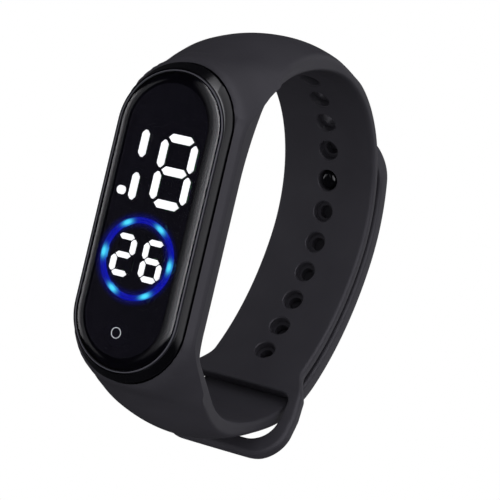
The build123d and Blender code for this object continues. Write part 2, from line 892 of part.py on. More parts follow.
def hole_cutter(number):
    """A stepped hole; the stud's own hole is open right through."""
    place = path_length_place(stud_length() + (number - stud_hole_number) * hole_pitch)
    through = arm_thickness + 2 * overrun
    if number == stud_hole_number:
        return extrude(face_plane(place, -overrun) * Circle(stud_hole_radius), amount=through)
    bore = extrude(face_plane(place, -overrun) * Circle(bore_radius), amount=through)
    wide = face_plane(place, -overrun) * Circle(counterbore_radius)
    return bore + extrude(wide, amount=overrun + counterbore_depth)


def pocket_cutter():
    seat = case_seat_depth + pocket_back_gap
    front = stadium_slab(pocket_half_width, pocket_half_height, -overrun, seat)
    width = case_body_half_width + ledge_clearance
    height = case_body_half_height + ledge_clearance
    return front + stadium_slab(width, height, seat, ledge_cut_depth)


def hinge_turn():
    """Heading of the short arm where its free end bends away."""
    return stud_place()[2] - hinge_below_stud


def tail_end_turn():
    top_radius = lower_path()[-1][0]
    return stud_place()[2] + math.degrees(tail_past_stud / top_radius)


def make_strap():
    end = total_turn(upper_arcs)
    arcs = upper_arcs
    bends = [end - arcs[-1][1], end - flare_turn]
    upper = root_loft(upper_rows(), upper_place, arm_start_turn, arm_section())
    stops = [(arm_start_turn, 0), (bends[0], arcs[-2][0]), (bends[1], arcs[-1][0])]
    long_arm = join(band_arcs(upper_place, stops, arm_section()) + [loop_neck(), loop_plate()])
    long_arm -= loop_slot()
    for number in range(1, hole_count + 1):
        long_arm -= hole_cutter(number)
    path = lower_path()
    met = total_turn(path[:-2])
    lower = root_loft(lower_rows(), lower_place, met, tail_section())
    root = join([carrier_block(), upper, lower]) & collar_envelope()
    rise = band_arcs(lower_place, [(met, 0), (hinge_turn(), path[-2][0])], tail_section())
    return largest(root - pocket_cutter() + long_arm + rise[0])


def make_tail():
    path = lower_path()
    crossing = total_turn(path[:-1])
    start = hinge_turn() + math.degrees(hinge_gap / path[-2][0])
    stops = [(start, 0), (crossing, path[-2][0]), (tail_end_turn(), path[-1][0])]
    tail = join(band_arcs(lower_place, stops, tail_section()))
    tail -= tip_corners()
    shaft = face_plane(stud_place(), -overrun) * Circle(stud_neck_radius + stud_fit)
    tail -= extrude(shaft, amount=tail_thickness + 2 * overrun)
    seat = face_plane(stud_place(), tail_thickness + stud_cap_proud - stud_cap_thickness)
    tail -= extrude(seat * Circle(stud_cap_radius + stud_fit), amount=overrun)
    return largest(tail)


def tip_corners():
    """Everything outside the rounded end of the tail."""
    radius = tail_tip_radius
    place = lower_place(tail_end_turn() - math.degrees(radius / lower_path()[-1][0]))
    block = Rectangle(2 * (tail_half_width + overrun), 2 * radius)
    rounded = Pos(0, -radius) * Rectangle(2 * tail_half_width, 4 * radius)
    rounded = fillet(rounded.vertices().group_by(Axis.Y)[-1], radius)
    corners = Pos(0, radius) * block - rounded
    reach = tail_thickness + 2 * overrun
    return extrude(face_plane(place, -overrun - tail_thickness) * corners, amount=reach + 2 * tail_thickness)


def stud_shape(radius, first, second):
    """A disc on the stud's axis between two heights above the short arm's inner face."""
    return extrude(face_plane(stud_place(), first) * Circle(radius), amount=second - first)


def make_stud():
    tip = -(tail_gap + arm_thickness - stud_recess)
    head = stud_shape(stud_head_radius, tip, tip + stud_head_length)
    end = head.faces().sort_by(Axis(face_plane(stud_place()).origin, outward(stud_place())))[0]
    head = fillet(end.edges(), stud_dome_radius)
    top = tail_thickness + stud_cap_proud - stud_cap_thickness
    return head + stud_shape(stud_neck_radius, tip + stud_head_length, top)


def make_stud_cap():
    top = tail_thickness + stud_cap_proud
    cap = stud_shape(stud_cap_radius, top - stud_cap_thickness, top)
    end = cap.faces().sort_by(Axis(face_plane(stud_place()).origin, outward(stud_place())))[-1]
    return fillet(end.edges(), stud_cap_proud)


def write_parts():
    lit = minute_places(two_segments, six_segments)
    nodes = {
        "lens": make_lens(),
        "lens_gasket": make_lens_gasket(),
        "case_shell": make_case_shell(),
        "light_mask": make_light_mask(),
        "hour_segments": make_diffusers(hour_outlines()),
        "minute_segments": make_diffusers(minute_outlines(lit)),
        "unlit_segments": make_diffusers(minute_outlines(unlit_places())),
        "ring_light_guide": make_diffusers([ring_band()]),
        "ring_leds": [led_block(x, z, False) for x, z in ring_led_places()],
        "digit_leds": make_digit_leds(),
        "circuit_board": make_circuit_board(),
        "microcontroller": make_microcontroller(),
        "clock_crystal": make_clock_crystal(),
        "touch_electrode": make_touch_electrode(),
        "touch_mark": make_touch_mark(),
        "contact_negative": make_contact_front(),
        "contact_positive": make_contact_back(),
        "battery_can": make_battery_can(),
        "battery_cap": make_battery_cap(),
        "battery_holder": make_battery_holder(),
        "back_cover": make_back_cover(),
        "cover_seal": make_cover_seal(),
        "cover_screws": make_cover_screws(),
        "strap": make_strap(),
        "strap_tail": make_tail(),
        "stud": make_stud(),
        "stud_cap": make_stud_cap(),
    }
    for name, shape in nodes.items():
        if isinstance(shape, (list, ShapeList)):
            shape = Compound(children=list(shape))
        export_step(shape, "parts/" + name + ".step")


os.makedirs("parts", exist_ok=True)
write_parts()
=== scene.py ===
"""Looks of a digital watch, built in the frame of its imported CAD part.

All sizes are in millimetres in the part's own frame (X to 3 o'clock, Z to 12 o'clock, -Y out of
the face) and become metres where a mesh is made. A depth is measured back from the lens front.
"""

import json
import logging
import math
from dataclasses import dataclass, field
from enum import Enum

import bmesh
import bpy
import numpy as np
from mathutils import Matrix, Vector

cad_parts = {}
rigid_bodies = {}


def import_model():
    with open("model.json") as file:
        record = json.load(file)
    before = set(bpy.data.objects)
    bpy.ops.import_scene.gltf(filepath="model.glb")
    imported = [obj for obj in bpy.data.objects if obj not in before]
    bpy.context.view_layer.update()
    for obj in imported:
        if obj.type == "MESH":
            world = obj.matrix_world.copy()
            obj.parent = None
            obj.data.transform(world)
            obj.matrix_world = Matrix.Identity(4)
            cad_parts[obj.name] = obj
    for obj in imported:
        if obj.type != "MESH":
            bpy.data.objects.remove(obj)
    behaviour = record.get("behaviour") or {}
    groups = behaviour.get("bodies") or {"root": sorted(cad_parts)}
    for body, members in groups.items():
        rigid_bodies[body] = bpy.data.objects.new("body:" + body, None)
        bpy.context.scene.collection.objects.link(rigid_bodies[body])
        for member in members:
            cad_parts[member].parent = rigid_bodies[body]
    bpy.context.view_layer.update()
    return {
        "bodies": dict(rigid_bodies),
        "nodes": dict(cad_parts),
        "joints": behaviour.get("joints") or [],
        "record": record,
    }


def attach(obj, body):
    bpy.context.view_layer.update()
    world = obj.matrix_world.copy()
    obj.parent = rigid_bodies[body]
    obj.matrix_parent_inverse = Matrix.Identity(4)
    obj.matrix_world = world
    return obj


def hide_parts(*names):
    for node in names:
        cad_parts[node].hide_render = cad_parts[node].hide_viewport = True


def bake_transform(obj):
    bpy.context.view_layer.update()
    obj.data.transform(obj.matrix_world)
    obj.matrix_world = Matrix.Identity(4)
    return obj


LOG = logging.getLogger("watch")
MM = 0.001
MODULE_DEPTH = 9.8
END_POINTS = 40
SIDE_POINTS = 10
WELD_REACH = 0.0004
TOUCH = 1e-9


class Shade(Enum):
    """How a mesh's faces are smoothed."""

    FLAT = "flat"
    SMOOTH = "smooth"
    BY_ANGLE = "by_angle"


# Meshes


def new_object(name: str, verts: np.ndarray, faces: list, shade: Shade = Shade.SMOOTH) -> bpy.types.Object:
    """Makes a mesh object with its place in the mesh.

    Args:
        name: The object's name.
        verts: Points in millimetres, one row each.
        faces: Corner indices of each face.
        shade: How the faces are smoothed.

    Returns:
        The linked object.
    """
    mesh = bpy.data.meshes.new(name)
    mesh.from_pydata((np.asarray(verts, float) * MM).tolist(), [], faces)
    mesh.validate()
    mesh.update()
    obj = bpy.data.objects.new(name, mesh)
    bpy.context.scene.collection.objects.link(obj)
    smooth(obj, shade)
    return obj


def smooth(obj: bpy.types.Object, shade: Shade, angle: float = 32.0) -> None:
    """Sets how the object's faces are smoothed.

    Args:
        obj: The mesh object.
        shade: The kind of smoothing.
        angle: The sharpest crease in degrees that stays smooth, where smoothing goes by angle.
    """
    flags = [shade is not Shade.FLAT] * len(obj.data.polygons)
    obj.data.polygons.foreach_set("use_smooth", flags)
    if shade is Shade.BY_ANGLE:
        obj.data.set_sharp_from_angle(angle=math.radians(angle))
    obj.data.update()


def dress(obj: bpy.types.Object, material: bpy.types.Material) -> bpy.types.Object:
    """Gives the object one material.

    Args:
        obj: The mesh object.
        material: Its finish.

    Returns:
        The same object.
    """
    obj.data.materials.clear()
    obj.data.materials.append(material)
    return obj


def bake_modifiers(obj: bpy.types.Object) -> bpy.types.Object:
    """Applies every modifier of an object by way of its evaluated mesh.

    Args:
        obj: A mesh, or a curve whose nodes give a mesh.

    Returns:
        The same object, or the new mesh object that takes a curve's place.
    """
    graph = bpy.context.evaluated_depsgraph_get()
    graph.update()
    mesh = bpy.data.meshes.new_from_object(obj.evaluated_get(graph))
    if obj.type == "MESH":
        obj.modifiers.clear()
        obj.data = mesh
        return obj
    made = bpy.data.objects.new(obj.name + "_mesh", mesh)
    bpy.context.scene.collection.objects.link(made)
    bpy.data.objects.remove(obj)
    return made


def cut(obj: bpy.types.Object, cutter: bpy.types.Object) -> None:
    """Takes the cutter away from the object and removes the cutter.

    Args:
        obj: The closed skin that is cut.
        cutter: The closed skin that cuts.
    """
    modifier = obj.modifiers.new("cut", "BOOLEAN")
    modifier.operation = "DIFFERENCE"
    modifier.solver = "EXACT"
    modifier.object = cutter
    bake_modifiers(obj)
    bpy.data.objects.remove(cutter)


def fix_normals(obj: bpy.types.Object) -> None:
    """Turns all faces outward.

    Args:
        obj: A closed skin.
    """
    work = bmesh.new()
    work.from_mesh(obj.data)
    bmesh.ops.recalc_face_normals(work, faces=work.faces)
    work.to_mesh(obj.data)
    work.free()
    obj.data.update()


def skin_rings(name: str, rings: list, shade: Shade, closed: bool = False) -> bpy.types.Object:
    """Skins equal rings of points.

    Args:
        name: The object's name.
        rings: Arrays of 3-D points, each with the same count.
        shade: How the faces are smoothed.
        closed: True where the last ring joins the first, as round a frame.

    Returns:
        The closed skin, capped at both ends unless the rings join.
    """
    count = len(rings[0])
    faces = []
    for start in range(0, (len(rings) - 1) * count, count):
        for c in range(count):
            d = (c + 1) % count
            faces.append((start + c, start + d, start + count + d, start + count + c))
    last = (len(rings) - 1) * count
    if closed:
        faces += [(last + c, last + (c + 1) % count, (c + 1) % count, c) for c in range(count)]
    else:
        faces.append(tuple(range(count))[::-1])
        faces.append(tuple(last + c for c in range(count)))
    obj = new_object(name, np.vstack(rings), faces, shade)
    fix_normals(obj)
    return obj


def stadium(half_width: float, half_height: float) -> np.ndarray:
    """Traces an upright slot outline with full-round ends.

    Args:
        half_width: Half of its width, which is also its ends' radius.
        half_height: Half of its height.

    Returns:
        Points (x, z).
    """
    straight = half_height - half_width
    top = np.radians(np.linspace(0, 180, END_POINTS))
    low = np.radians(np.linspace(180, 360, END_POINTS))
    side = np.linspace(straight, -straight, SIDE_POINTS)[1:-1]
    parts = [
        np.c_[half_width * np.cos(top), straight + half_width * np.sin(top)],
        np.c_[np.full(len(side), -half_width), side],
        np.c_[half_width * np.cos(low), -straight + half_width * np.sin(low)],
        np.c_[np.full(len(side), half_width), side[::-1]],
    ]
    return np.vstack(parts)


def stadium_stack(
    name: str, rows: list, closed: bool = False, shade: Shade = Shade.BY_ANGLE
) -> bpy.types.Object:
    """Skins a stack of stadium outlines.

    Args:
        name: The object's name.
        rows: Rows of (half width, half height, depth).
        closed: True where the last outline joins the first, as round a frame.
        shade: How the faces are smoothed.

    Returns:
        The closed skin.
    """
    rings = []
    for half_width, half_height, depth in rows:
        outline = stadium(half_width, half_height)
        rings.append(np.c_[outline[:, 0], np.full(len(outline), depth - MODULE_DEPTH), outline[:, 1]])
    return skin_rings(name, rings, shade, closed)


def weld(obj: bpy.types.Object, other: bpy.types.Object, seam: np.ndarray) -> None:
    """Joins a second closed skin to the first where both have the same end cap.

    Args:
        obj: The object that keeps both.
        other: The object that is used up.
        seam: The points round the shared cap, in millimetres.
    """
    work = bmesh.new()
    work.from_mesh(obj.data)
    work.from_mesh(other.data)
    middle = Vector((np.asarray(seam).mean(axis=0) * MM).tolist())
    caps = [face for face in work.faces if len(face.verts) == len(seam)]
    caps.sort(key=lambda face: (sum((v.co for v in face.verts), Vector()) / len(seam) - middle).length)
    bmesh.ops.delete(work, geom=caps[:2], context="FACES_ONLY")
    bmesh.ops.remove_doubles(work, verts=work.verts, dist=WELD_REACH * MM)
    work.to_mesh(obj.data)
    work.free()
    bpy.data.objects.remove(other)


def softened(values: np.ndarray, reach: int, spread: float) -> np.ndarray:
    """Blurs values along a line with a bell curve.

    Args:
        values: The values, evenly spaced.
        reach: How many neighbours on each side count.
        spread: The bell's width in steps.

    Returns:
        As many values.
    """
    bell = np.exp(-0.5 * (np.arange(-reach, reach + 1) / spread) ** 2)
    return np.convolve(np.pad(values, reach, mode="edge"), bell / bell.sum(), mode="valid")


def eased(share: float | np.ndarray) -> float | np.ndarray:
    """A share from 0 to 1 with a soft start and end."""
    return share * share * (3 - 2 * share)


# Node trees


class Value:
    """A socket that takes part in shader maths."""

    def __init__(self, graph: "ShaderNodes", socket: bpy.types.NodeSocket) -> None:
        """Keeps the socket and the graph that its maths goes to."""
        self.graph = graph
        self.socket = socket

    def __add__(self, other: "Value | float") -> "Value":
        """This plus the other."""
        return self.graph.math("ADD", self, other)

    def __radd__(self, other: float) -> "Value":
        """A number plus this."""
        return self.graph.math("ADD", other, self)

    def __sub__(self, other: "Value | float") -> "Value":
        """This less the other."""
        return self.graph.math("SUBTRACT", self, other)

    def __rsub__(self, other: float) -> "Value":
        """A number less this."""
        return self.graph.math("SUBTRACT", other, self)

    def __mul__(self, other: "Value | float") -> "Value":
        """This times the other."""
        return self.graph.math("MULTIPLY", self, other)

    def __rmul__(self, other: float) -> "Value":
        """A number times this."""
        return self.graph.math("MULTIPLY", other, self)

    def __truediv__(self, other: "Value | float") -> "Value":
        """This divided by the other."""
        return self.graph.math("DIVIDE", self, other)

    def __pow__(self, other: "Value | float") -> "Value":
        """This to the power of the other."""
        return self.graph.math("POWER", self, other)

    def cos(self) -> "Value":
        """The cosine, of radians."""
        return self.graph.math("COSINE", self)

    def abs(self) -> "Value":
        """The value without its sign."""
        return self.graph.math("ABSOLUTE", self)

    def angle_to(self, other: "Value") -> "Value":
        """The angle in radians whose tangent is this over the other."""
        return self.graph.math("ARCTAN2", self, other)

    def clamp(self) -> "Value":
        """The value held between 0 and 1."""
        return self.graph.math("ADD", self, 0.0, use_clamp=True)


class Nodes:
    """A node tree and the methods that fill it."""

    def __init__(self, tree: bpy.types.NodeTree) -> None:
        """Takes over the tree and empties it."""
        self.tree = tree
        self.tree.nodes.clear()

    def node(self, kind: str, inputs: dict | None = None, **settings: object) -> bpy.types.Node:
        """Makes a node, sets its properties and fills or links its inputs.

        Args:
            kind: The node type.
            inputs: Values or sockets by input name or index.
            settings: Properties of the node.

        Returns:
            The node.
        """
        made = self.tree.nodes.new(kind)
        for key, value in settings.items():
            setattr(made, key, value)
        for key, value in (inputs or {}).items():
            self.put(made.inputs[key], value)
        return made

    def put(self, target: bpy.types.NodeSocket, value: object) -> None:
        """Links a value to an input, or writes a constant.

        Args:
            target: The input.
            value: A Value, a socket, or what the input holds.
        """
        if isinstance(value, Value):
            value = value.socket
        if isinstance(value, bpy.types.NodeSocket):
            self.tree.links.new(value, target)
        else:
            target.default_value = value


# Geometry Nodes


class NodeGroup(Nodes):
    """A Geometry Nodes group with named inputs, applied and removed again."""

    def __init__(self, name: str) -> None:
        """Makes the group with geometry in and out.

        Args:
            name: The group's name.
        """
        super().__init__(bpy.data.node_groups.new(name, "GeometryNodeTree"))
        self.entry = self.node("NodeGroupInput")
        self.exit = self.node("NodeGroupOutput")
        self.names = {}
        self.socket("Geometry", "NodeSocketGeometry", "OUTPUT")
        self.socket("Geometry", "NodeSocketGeometry")

    def socket(self, name: str, kind: str, way: str = "INPUT") -> None:
        """Adds an input or output of the group.

        Args:
            name: What the nodes call it.
            kind: The socket type.
            way: INPUT or OUTPUT.
        """
        item = self.tree.interface.new_socket(name=name, in_out=way, socket_type=kind)
        if way == "INPUT":
            self.names[name] = item.identifier

    def given(self, name: str) -> bpy.types.NodeSocket:
        """The group's input of that name, as a source for its nodes."""
        return self.entry.outputs[name]

    def finish(self, socket: bpy.types.NodeSocket) -> None:
        """Sends the socket's geometry out of the group."""
        self.put(self.exit.inputs[0], socket)

    def apply(self, obj: bpy.types.Object, **values: object) -> bpy.types.Object:
        """Runs the group on an object with its inputs set by their identifiers.

        Args:
            obj: The object that gives the geometry.
            values: The group's inputs by name.

        Returns:
            The object with the realized mesh.
        """
        modifier = obj.modifiers.new("nodes", "NODES")
        modifier.node_group = self.tree
        for name, value in values.items():
            modifier[self.names[name]] = value
        obj.update_tag()
        return bake_modifiers(obj)


@dataclass
class RepeatAlong:
    """Copies of an object spaced evenly along a line, each with its Z axis on the line's inside."""

    points: list
    count: int
    item: bpy.types.Object
    finish: bpy.types.Material
    skip: int = -1

    def line(self, name: str) -> bpy.types.Object:
        """Makes the curve through the points.

        Args:
            name: The object's name.

        Returns:
            The linked curve object.
        """
        data = bpy.data.curves.new(name, "CURVE")
        data.dimensions = "3D"
        spline = data.splines.new("POLY")
        spline.points.add(len(self.points) - 1)
        for point, (x, y, z) in zip(spline.points, self.points):
            point.co = (x * MM, y * MM, z * MM, 1)
        obj = bpy.data.objects.new(name, data)
        bpy.context.scene.collection.objects.link(obj)
        return obj

    def build(self, name: str) -> bpy.types.Object:
        """Runs the nodes on the curve.

        Args:
            name: The object's name.

        Returns:
            The realized mesh in its finish.
        """
        group = NodeGroup("repeat_along")
        group.socket("Count", "NodeSocketInt")
        group.socket("Item", "NodeSocketObject")
        group.socket("Finish", "NodeSocketMaterial")
        group.socket("Skip", "NodeSocketInt")
        line = {"Curve": group.given("Geometry"), "Count": group.given("Count")}
        spots = group.node("GeometryNodeCurveToPoints", line)
        across = {0: spots.outputs["Tangent"], 1: (1.0, 0.0, 0.0)}
        inside = group.node("ShaderNodeVectorMath", across, operation="CROSS_PRODUCT")
        turn = group.node("FunctionNodeAlignRotationToVector", {"Vector": inside.outputs[0]}, axis="Z")
        index = group.node("GeometryNodeInputIndex")
        pair = {2: index.outputs[0], 3: group.given("Skip")}
        wanted = group.node("FunctionNodeCompare", pair, data_type="INT", operation="NOT_EQUAL")
        item = group.node("GeometryNodeObjectInfo", {"Object": group.given("Item")})
        placed = group.node("GeometryNodeInstanceOnPoints", {
            "Points": spots.outputs["Points"],
            "Instance": item.outputs["Geometry"],
            "Rotation": turn.outputs[0],
            "Selection": wanted.outputs[0],
        })
        real = group.node("GeometryNodeRealizeInstances", {0: placed.outputs[0]})
        paint = {"Geometry": real.outputs[0], "Material": group.given("Finish")}
        group.finish(group.node("GeometryNodeSetMaterial", paint).outputs[0])
        wishes = {"Count": self.count, "Item": self.item, "Finish": self.finish, "Skip": self.skip}
        made = group.apply(self.line(name), **wishes)
        LOG.info("%s: %d copies", name, self.count - (self.skip >= 0))
        return made


@dataclass
class RepeatAt:
    """Copies of an object at listed places, each with its own quarter turn and width."""

    places: list
    item: bpy.types.Object
    finish: bpy.types.Material
    upright_share: float = 1.0

    def spots(self, name: str) -> bpy.types.Object:
        """Makes points that carry each copy's turn and width.

        Args:
            name: The object's name.

        Returns:
            The linked object without faces.
        """
        obj = new_object(name, np.array([place[:3] for place in self.places], float), [])
        uprights = [place[3] for place in self.places]
        rows = {
            "turn": [math.radians(90.0 * upright) for upright in uprights],
            "width": [self.upright_share if upright else 1.0 for upright in uprights],
        }
        for label, values in rows.items():
            obj.data.attributes.new(label, "FLOAT", "POINT").data.foreach_set("value", values)
        return obj

    def build(self, name: str) -> bpy.types.Object:
        """Runs the nodes on the points.

        Args:
            name: The object's name.

        Returns:
            The realized mesh in its finish.
        """
        group = NodeGroup("repeat_at")
        group.socket("Item", "NodeSocketObject")
        group.socket("Finish", "NodeSocketMaterial")
        turn = group.node("GeometryNodeInputNamedAttribute", {"Name": "turn"}, data_type="FLOAT")
        spin = group.node("ShaderNodeCombineXYZ", {1: turn.outputs[0]})
        width = group.node("GeometryNodeInputNamedAttribute", {"Name": "width"}, data_type="FLOAT")
        squeeze = group.node("ShaderNodeCombineXYZ", {0: 1.0, 1: 1.0, 2: width.outputs[0]})
        points = group.node("GeometryNodeMeshToPoints", {0: group.given("Geometry")})
        item = group.node("GeometryNodeObjectInfo", {"Object": group.given("Item")})
        placed = group.node("GeometryNodeInstanceOnPoints", {
            "Points": points.outputs[0],
            "Instance": item.outputs["Geometry"],
            "Rotation": spin.outputs[0],
            "Scale": squeeze.outputs[0],
        })
        real = group.node("GeometryNodeRealizeInstances", {0: placed.outputs[0]})
        paint = {"Geometry": real.outputs[0], "Material": group.given("Finish")}
        group.finish(group.node("GeometryNodeSetMaterial", paint).outputs[0])
        made = group.apply(self.spots(name), Item=self.item, Finish=self.finish)
        LOG.info("%s: %d copies", name, len(self.places))
        return made


# Shader graphs


class ShaderNodes(Nodes):
    """A shader tree and the values that its nodes give."""

    def math(self, operation: str, *parts: "Value | float", **settings: object) -> Value:
        """A maths node over sockets and numbers.

        Args:
            operation: The node's operation.
            parts: Its inputs in order.
            settings: Its other properties.

        Returns:
            The result.
        """
        made = self.node("ShaderNodeMath", dict(enumerate(parts)), operation=operation, **settings)
        return Value(self, made.outputs[0])

    def place(self) -> tuple:
        """Splits the object coordinates.

        Returns:
            X, Y and Z in millimetres.
        """
        where = self.node("ShaderNodeTexCoord").outputs["Object"]
        split = self.node("ShaderNodeSeparateXYZ", {0: where})
        return tuple(Value(self, split.outputs[k]) * (1 / MM) for k in range(3))

    def noise(self, scale: float, detail: float = 2.0, roughness: float = 0.5) -> Value:
        """Noise over object coordinates.

        Args:
            scale: Cells per metre.
            detail: How many finer layers it has.
            roughness: How strong the finer layers are.

        Returns:
            A value round one half.
        """
        where = self.node("ShaderNodeTexCoord").outputs["Object"]
        wanted = {"Vector": where, "Scale": scale, "Detail": detail, "Roughness": roughness}
        return Value(self, self.node("ShaderNodeTexNoise", wanted).outputs["Fac"])

    def blend_colours(self, share: Value, first: tuple, second: tuple) -> Value:
        """Blends two colours.

        Args:
            share: 0 for the first, 1 for the second.
            first: A linear colour.
            second: A linear colour.

        Returns:
            The blended colour.
        """
        made = self.node("ShaderNodeMix", {0: share, 6: first, 7: second}, data_type="RGBA")
        return Value(self, made.outputs[2])

    def bump(self, height: Value, strength: float, distance: float) -> Value:
        """A normal from a height in object space.

        Args:
            height: The height, in units of the distance.
            strength: How much of it counts.
            distance: The distance in metres.

        Returns:
            The normal.
        """
        made = self.node("ShaderNodeBump", {"Height": height, "Strength": strength, "Distance": distance})
        return Value(self, made.outputs[0])

    def band(self, value: Value, low: float, high: float, soft_low: float, soft_high: float) -> Value:
        """1 between two limits, with smooth shoulders.

        Args:
            value: What is compared.
            low: The lower limit.
            high: The upper limit.
            soft_low: Half width of the lower shoulder.
            soft_high: Half width of the upper shoulder.

        Returns:
            A value from 0 to 1.
        """
        rise = self.step(value, low - soft_low, low + soft_low)
        return rise * (1.0 - self.step(value, high - soft_high, high + soft_high))

    def step(self, value: Value, start: float, end: float) -> Value:
        """A smooth rise.

        Args:
            value: What is compared.
            start: Where the rise begins at 0.
            end: Where it ends at 1.

        Returns:
            A value from 0 to 1.
        """
        wanted = {"Value": value, "From Min": start, "From Max": end}
        made = self.node("ShaderNodeMapRange", wanted, interpolation_type="SMOOTHSTEP")
        return Value(self, made.outputs[0])


class Graph(ShaderNodes):
    """One material's node tree round a Principled surface."""

    def __init__(self, name: str) -> None:
        """Makes the material.

        Args:
            name: The material's name.
        """
        self.material = bpy.data.materials.new(name)
        self.material.use_nodes = True
        super().__init__(self.material.node_tree)
        self.surface = self.node("ShaderNodeBsdfPrincipled")
        out = self.node("ShaderNodeOutputMaterial")
        self.put(out.inputs["Surface"], self.surface.outputs[0])

    def finish(self, **inputs: object) -> bpy.types.Material:
        """Fills the surface's inputs.

        Args:
            inputs: Values by input name, where underscores stand for spaces.

        Returns:
            The material.
        """
        for key, value in inputs.items():
            self.put(self.surface.inputs[key.replace("_", " ")], value)
        return self.material


def rgb(red: float, green: float, blue: float) -> tuple:
    """A linear colour from sRGB bytes.

    Args:
        red: 0 to 255.
        green: 0 to 255.
        blue: 0 to 255.

    Returns:
        Linear red, green, blue and an alpha of 1.
    """
    parts = [c / 255 for c in (red, green, blue)]
    linear = [c / 12.92 if c <= 0.04045 else ((c + 0.055) / 1.055) ** 2.4 for c in parts]
    return (*linear, 1.0)


@dataclass(frozen=True)
class Rubber:
    """Matt black silicone with a fine moulded grain and faint cloudiness."""

    name: str = "strap_rubber"
    dark: tuple = rgb(42, 41, 45)
    light: tuple = rgb(49, 48, 52)
    roughness: float = 0.5
    cloud: float = 160.0
    cloud_shift: float = 0.12
    grain: float = 9000.0
    grain_strength: float = 0.35
    grain_depth: float = 0.000012
    specular: float = 0.12

    def build(self) -> bpy.types.Material:
        """Builds the material.

        Returns:
            The finish.
        """
        graph = Graph(self.name)
        cloud = graph.noise(self.cloud, 3.0)
        grain = graph.noise(self.grain, 1.0)
        return graph.finish(
            Base_Color=graph.blend_colours(cloud, self.dark, self.light),
            Roughness=self.roughness + (cloud - 0.5) * self.cloud_shift,
            Normal=graph.bump(grain, self.grain_strength, self.grain_depth),
            Specular_IOR_Level=self.specular,
        )


@dataclass(frozen=True)
class Plastic:
    """Moulded plastic, from matt to glossy."""

    name: str
    colour: tuple
    roughness: float = 0.3
    grain: float = 5200.0
    grain_shift: float = 0.06
    grain_strength: float = 0.25
    grain_depth: float = 0.000004
    specular: float = 0.5

    def build(self) -> bpy.types.Material:
        """Builds the material.

        Returns:
            The finish.
        """
        graph = Graph(self.name)
        grain = graph.noise(self.grain, 1.5)
        return graph.finish(
            Base_Color=self.colour,
            Specular_IOR_Level=self.specular,
            Roughness=self.roughness + (grain - 0.5) * self.grain_shift,
            Normal=graph.bump(grain, self.grain_strength, self.grain_depth),
        )


@dataclass(frozen=True)
class DarkPlastic(Plastic):
    """Matt plastic behind the window, which mirrors nothing and has no grain."""

    roughness: float = 0.8
    grain_depth: float = 0.0
    specular: float = 0.0


@dataclass(frozen=True)
class SmokedWindow:
    """Clear smoked plastic, polished."""

    name: str = "smoked_window"
    tint: tuple = (0.96, 0.96, 0.97, 1.0)
    roughness: float = 0.02
    haze: float = 90.0
    haze_shift: float = 0.025
    density: float = 1.49

    def build(self) -> bpy.types.Material:
        """Builds the material.

        Returns:
            The finish.
        """
        graph = Graph(self.name)
        rough = self.roughness + graph.noise(self.haze, 2.0) * self.haze_shift
        return graph.finish(
            Base_Color=self.tint,
            Roughness=rough,
            IOR=self.density,
            Transmission_Weight=1.0,
        )


@dataclass(frozen=True)
class Lit:
    """A light-emitting face with one colour, faintly mottled; the digits are lamps, while on the printed
    touch mark the glow is painted light.
    """

    name: str
    colour: tuple
    strength: float
    mottle: float = 1500.0
    paler: tuple = (1.04, 0.01)

    def build(self) -> bpy.types.Material:
        """Builds the material.

        Returns:
            The finish.
        """
        graph = Graph(self.name)
        times, more = self.paler
        pale = tuple(min(1.0, c * times + more) for c in self.colour)
        return graph.finish(
            Base_Color=self.colour,
            Roughness=0.5,
            Emission_Color=graph.blend_colours(graph.noise(self.mottle, 1.0), self.colour, pale),
            Emission_Strength=self.strength,
        )


@dataclass(frozen=True)
class LitRing:
    """Blue light guide, brightest over its lamps and fading across its width.

    band is the half width of the glow and spot that of the bright spots. soft shapes the fade, and
    cover is the share of what lies behind that the ring hides.
    """

    name: str
    centre_x: float
    centre_z: float
    radius: float
    lamps: int
    strength: float
    band: float
    soft: float = 1.0
    cover: float = 1.0
    spot: float = 0.42
    spot_powers: tuple = (6.0, 3.0)
    tail_share: float = 0.2
    spot_top: float = 1.2
    deep: tuple = (0.0, 0.002, 0.28, 1.0)
    bright: tuple = (0.07, 0.72, 1.0, 1.0)

    def build(self) -> bpy.types.Material:
        """Builds the material.

        Returns:
            The finish.
        """
        graph = Graph(self.name)
        x, _, z = graph.place()
        across = x - self.centre_x
        rise = z - self.centre_z
        near = (rise.angle_to(across) * float(self.lamps)).cos() * 0.5 + 0.5
        off = ((across * across + rise * rise) ** 0.5 - self.radius).abs()
        fade = (1.0 - off / self.band).clamp() ** self.soft
        sharp, broad = self.spot_powers
        along = near**sharp + near**broad * self.tail_share
        hot = along * (self.spot_top - off / self.spot).clamp()
        return graph.finish(
            Base_Color=(0.0, 0.0, 0.0, 1.0),
            Roughness=0.6,
            Emission_Color=graph.blend_colours(hot, self.deep, self.bright),
            Emission_Strength=self.strength,
            Alpha=fade * self.cover,
        )


@dataclass(frozen=True)
class Steel:
    """Fine brushed or plated metal."""

    name: str
    colour: tuple = (0.62, 0.61, 0.58, 1.0)
    roughness: float = 0.28
    streak: float = 2600.0
    streak_shift: float = 0.2
    streak_strength: float = 0.2
    streak_depth: float = 0.000004

    def build(self) -> bpy.types.Material:
        """Builds the material.

        Returns:
            The finish.
        """
        graph = Graph(self.name)
        streak = graph.noise(self.streak, 4.0, 0.7)
        return graph.finish(
            Base_Color=self.colour,
            Metallic=1.0,
            Roughness=self.roughness + (streak - 0.5) * self.streak_shift,
            Normal=graph.bump(streak, self.streak_strength, self.streak_depth),
        )


